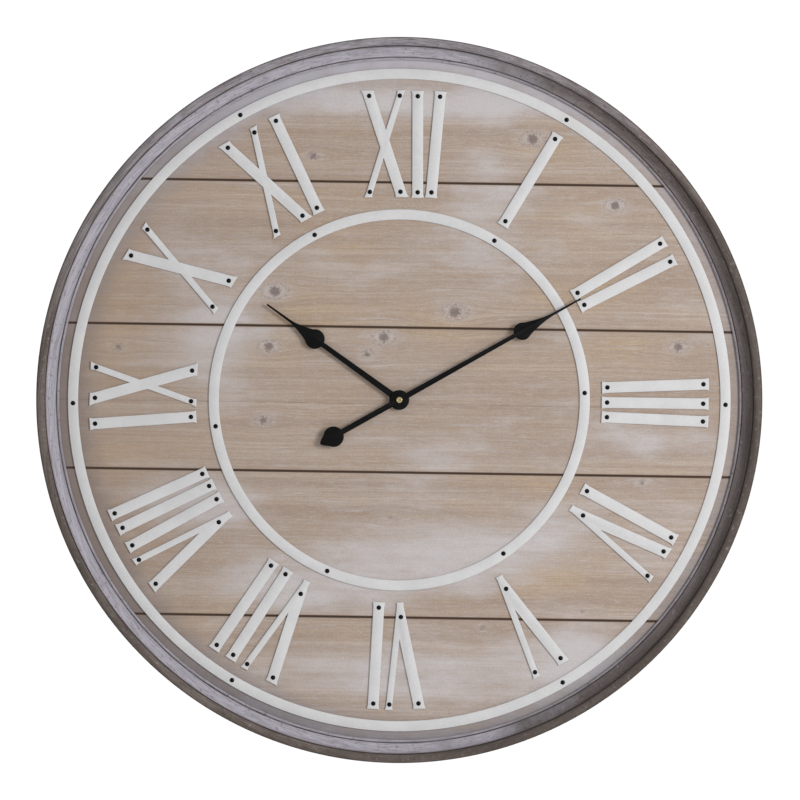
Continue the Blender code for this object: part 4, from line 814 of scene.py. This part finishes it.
# %% Where the nails go
# Each stroke: its letter and how far its head and foot stand to the right of the hour line, mm
STROKES = {
    1: (("I", 0, -0.6),),
    2: (("I", -10.4, -7.4), ("I", 12.4, 7.8)),
    3: (("I", -22.3, -17.2), ("I", -0.8, -0.6), ("I", 18.8, 15.6)),
    4: (("I", -23.6, -19.9), ("V", 10, 5.3)),
    5: (("V", -0.6, -1.2),),
    6: (("V", -10.1, -4.5), ("I", 23.7, 19.2)),
    7: (("V", -21.4, -15.5), ("I", 13.1, 9.2), ("I", 34.3, 27.8)),
    8: (("V", -30.2, -19.4), ("I", 3.4, 2.6), ("I", 25.5, 19.3), ("I", 43.7, 34.6)),
    9: (("I", -31.1, -22.1), ("X", 14.3, 12.1)),
    10: (("X", 2, -0.4),),
    11: (("X", -12.7, -11.1), ("I", 31.2, 23.9)),
    12: (("X", -21.3, -19), ("I", 15.5, 16.9), ("I", 40.1, 32.1)),
}
# Each nail: how far it stands to the right of its stroke's middle and above it, in mm
REACH = 53
STROKE_NAILS = {
    "I": ((0, REACH), (0, -REACH)),
    "V": ((-16.1, REACH), (16.1, REACH), (-0.3, -43)),
    "X": ((-16.9, REACH), (16.9, REACH), (-16.9, -REACH), (16.9, -REACH)),
}
MIDDLE = (radii("outer_metal_ring")[0] + radii("inner_metal_ring")[1]) / 2
sheet_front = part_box("numeral_1_i")[0].y
for hour, strokes in STROKES.items():
    turn = math.radians(30 * hour)
    places = []
    for letter, head, foot in strokes:
        lean = math.atan2(head - foot, 2 * REACH)
        middle = (head + foot) / 2 * MM
        for right, up in STROKE_NAILS[letter]:
            across = middle + (right * math.cos(lean) + up * math.sin(lean)) * MM
            along = MIDDLE + (up * math.cos(lean) - right * math.sin(lean)) * MM
            x = across * math.cos(turn) + along * math.sin(turn)
            z = along * math.cos(turn) - across * math.sin(turn)
            places.append((x, sheet_front, z))
    nails = copied(nail, f"nails_{hour}", places)
    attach(nails, "clock")
    finish_as(nails, "black_enamel")

# %% Ring screws
# Each ring's solid, and its screws' places in degrees clockwise from twelve
RING_SCREWS = {
    "outer": ("outer_metal_ring", (30, 90, 149.1, 210, 268.6, 330)),
    "inner": ("inner_metal_ring", (30, 87, 145, 202, 261, 332)),
}
for ring_name, (node, clock_angles) in RING_SCREWS.items():
    middle = sum(radii(node)) / 2
    places = []
    for angle in map(math.radians, clock_angles):
        places.append((middle * math.sin(angle), sheet_front, middle * math.cos(angle)))
    screws = copied(nail, f"{ring_name}_ring_screws", places)
    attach(screws, "clock")
    finish_as(screws, "black_enamel")
bpy.data.objects.remove(nail)

# %% [markdown]
# ## Hands and their nut
# The hands are stamped sheet with rolled edges, painted satin black. The nut that holds them is
# brass.

# %% Hands
for node, slot, width in (
    ("hour_hand", "black_enamel", 0.2 * MM),
    ("minute_hand", "black_enamel", 0.2 * MM),
    ("minute_nut", "brass", 0.35 * MM),
    ("dial_nut", "brass", 0.3 * MM),
):
    hand = finish_as(eased(node, f"eased_{node}", width, 3), slot)
    tell(hand, "eased")

# %% [markdown]
# ## The back
# From behind, the clock shows raw boards, two battens screwed across them, the battery movement
# and the keyhole plate. The battens' screws have pan heads with a cross cut in them. The plate's
# are sunk, and stand a tenth of a millimetre proud of it.

# %% A cross-head screw
def cross_head(radius, rise):
    """A pan head that faces +Y, on the axis: a low turned dome with a cross chiselled in."""
    profile = ((0, 1), (0.55, 0.93), (0.85, 0.66), (1, 0.22), (1, -0.1), (0, -0.1))
    head = turned("screw", [(r * radius, y * rise) for r, y in profile], 20, 50, closed=False)
    long, short = radius * 0.5, radius * 0.1
    chisel(head, (-long, rise * 0.4, -short), (long, radius, short))
    chisel(head, (-short, rise * 0.4, -long), (short, radius, long))
    return head


screw = cross_head(3.4 * MM, 1.5 * MM)
for side in ("left", "right"):
    low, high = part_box(f"batten_{side}")
    middle = (low.x + high.x) / 2
    places = []
    for number in range(1, 6):
        plank_low, plank_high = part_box(f"plank_{number}")
        bottom = max(plank_low.z, low.z)
        top = min(plank_high.z, high.z)
        for share in (0.25, 0.75):
            places.append((middle, high.y, bottom + (top - bottom) * share))
    screws = copied(screw, f"{side}_batten_screws", places)
    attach(screws, "clock")
    finish_as(screws, "steel")
bpy.data.objects.remove(screw)

PLATE_SCREW_OFFSET = 17 * MM
plate_screw = cross_head(2.4 * MM, 0.1 * MM)
places = [(side * PLATE_SCREW_OFFSET, plate_high.y, plate_middle) for side in (-1, 1)]
plate_screws = copied(plate_screw, "plate_screws", places)
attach(plate_screws, "clock")
finish_as(plate_screws, "steel")
bpy.data.objects.remove(plate_screw)

# %% [markdown]
# The knob that sets the hands has a ribbed edge, so that a finger can turn it. The ribs start
# as a plain turned ring of many sides, and every second side is drawn outwards. A low collar
# stands round it on the cover.

# %% The set knob's ribs and collar
knob_axis = next(joint["pos_m"] for joint in frame["joints"] if joint["name"] == "knob_turn")
KNOB_HEAD = 4 * MM
knob_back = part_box("set_knob")[1].y
cover_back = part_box("rear_cover")[1].y


def ring_section(inside, outside, front, back, ease):
    return [
        (inside, front), (outside - ease, front), (outside, front + ease),
        (outside, back - ease), (outside - ease, back), (inside, back),
    ]


def draw_out(piece, radius, distance):
    """Pulls every second outer face of a turned ring away from its axis."""
    edit(piece, whole=False)
    bpy.ops.object.mode_set(mode="OBJECT")
    faces = piece.data.polygons
    outer = [face for face in faces if math.hypot(face.center.x, face.center.z) > radius]
    outer.sort(key=lambda face: math.atan2(face.center.z, face.center.x))
    for face in outer[::2]:
        face.select = True
    bpy.ops.object.mode_set(mode="EDIT")
    bpy.ops.mesh.select_mode(type="FACE")
    bpy.ops.mesh.extrude_faces_move(TRANSFORM_OT_shrink_fatten={"value": distance})
    bpy.ops.object.mode_set(mode="OBJECT")


RIB_FOOT = 4.25 * MM
ribs_section = ring_section(
    KNOB_HEAD, RIB_FOOT, knob_back - 2.1 * MM, knob_back - 0.1 * MM, ease=0.05 * MM
)
ribs = turned("knob_ribs", ribs_section, 40, 30)
draw_out(ribs, RIB_FOOT - 0.03 * MM, 0.2 * MM)
collar_section = ring_section(
    5 * MM, 5.9 * MM, cover_back - 0.05 * MM, cover_back + 0.5 * MM, ease=0.15 * MM
)
collar = turned("knob_collar", collar_section, 48, 40)
for piece, body in ((ribs, "setting"), (collar, "clock")):
    piece.location = (knob_axis[0], 0, knob_axis[2])
    settle(piece, piece.name, 40)
    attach(piece, body)
    finish_as(piece, "black_plastic")
    tell(piece, "on the cover")

# %% The movement's case, the plate and the battery
for node, slot, width in (
    ("movement_case", "black_plastic", 0.4 * MM),
    ("rear_cover", "black_plastic", 0.3 * MM),
    ("hanger_plate", "steel", 0.2 * MM),
    ("battery", "battery_wrap", 0.4 * MM),
    ("batten_left", "raw_batten_wood", 0.8 * MM),
    ("batten_right", "raw_batten_wood", 0.8 * MM),
):
    tell(finish_as(eased(node, f"eased_{node}", width), slot), "eased")

# %% [markdown]
# ## Studio
# A plain floor stands well below the clock. A large soft light at the right, nearly level with
# the clock, gives the cove its light and dark sides, and a white room fills the shadows. The
# room looks white to the camera and lights the clock less strongly than that.

# %% Floor, room and lights
select_only()
bpy.ops.mesh.primitive_plane_add(size=4, location=(0, 0, -0.9))
floor = settle(bpy.context.object, "floor")
coat(floor, plain_finish("floor_paint", shade(232, 232, 232), shade(238, 238, 238), 3, (0.8, 0.9)))
floor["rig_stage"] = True

room = bpy.data.worlds.new("room")
bpy.context.scene.world = room
room.use_nodes = True
room_nodes = room.node_tree
backdrop = room_nodes.nodes["Background"]
backdrop.inputs["Color"].default_value = (1, 1, 1, 1)
seen = room_nodes.nodes.new("ShaderNodeLightPath")
strength = room_nodes.nodes.new("ShaderNodeMapRange")
strength.inputs["To Min"].default_value = 0.5
strength.inputs["To Max"].default_value = 1.04
room_nodes.links.new(seen.outputs["Is Camera Ray"], strength.inputs["Value"])
room_nodes.links.new(strength.outputs["Result"], backdrop.inputs["Strength"])


def soft_light(name, place, size, watts):
    """A square light that faces the middle of the clock."""
    select_only()
    bpy.ops.object.light_add(type="AREA", location=place)
    light = bpy.context.object
    light.name = name
    light.data.size = size
    light.data.energy = watts
    light.rotation_euler = light.location.to_track_quat("Z", "Y").to_euler()
    return light


soft_light("key", (1.92, -2.25, 0.45), 1.0, 53)
soft_light("from_behind", (-1.6, 2.6, 1.0), 1.2, 40)

# %% Camera
VIEW_WIDTH = 0.8808
DISTANCE = 8.0
TILT = math.radians(0.85)
select_only()
bpy.ops.object.camera_add(location=(0.0008, -DISTANCE, 0), rotation=(math.pi / 2, -TILT, 0))
camera = bpy.context.object
camera.data.sensor_width = 36
camera.data.lens = 36 * (DISTANCE + FRONT) / VIEW_WIDTH
bpy.context.scene.camera = camera
bpy.context.scene.view_settings.view_transform = "Standard"

# %% [markdown]
# ## Measuring and finishing
# The finished clock is made to fill the same box as its solids, but for the plate's screws. Both boxes' sizes
# are printed.

# %% Compare the boxes
finished_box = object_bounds()
boxes = {
    "solids": [list(corner) for corner in solid_box],
    "finished": [list(corner) for corner in finished_box],
}
for name, (low, high) in boxes.items():
    print(name, [round((b - a) * 1000, 1) for a, b in zip(low, high)], "mm")
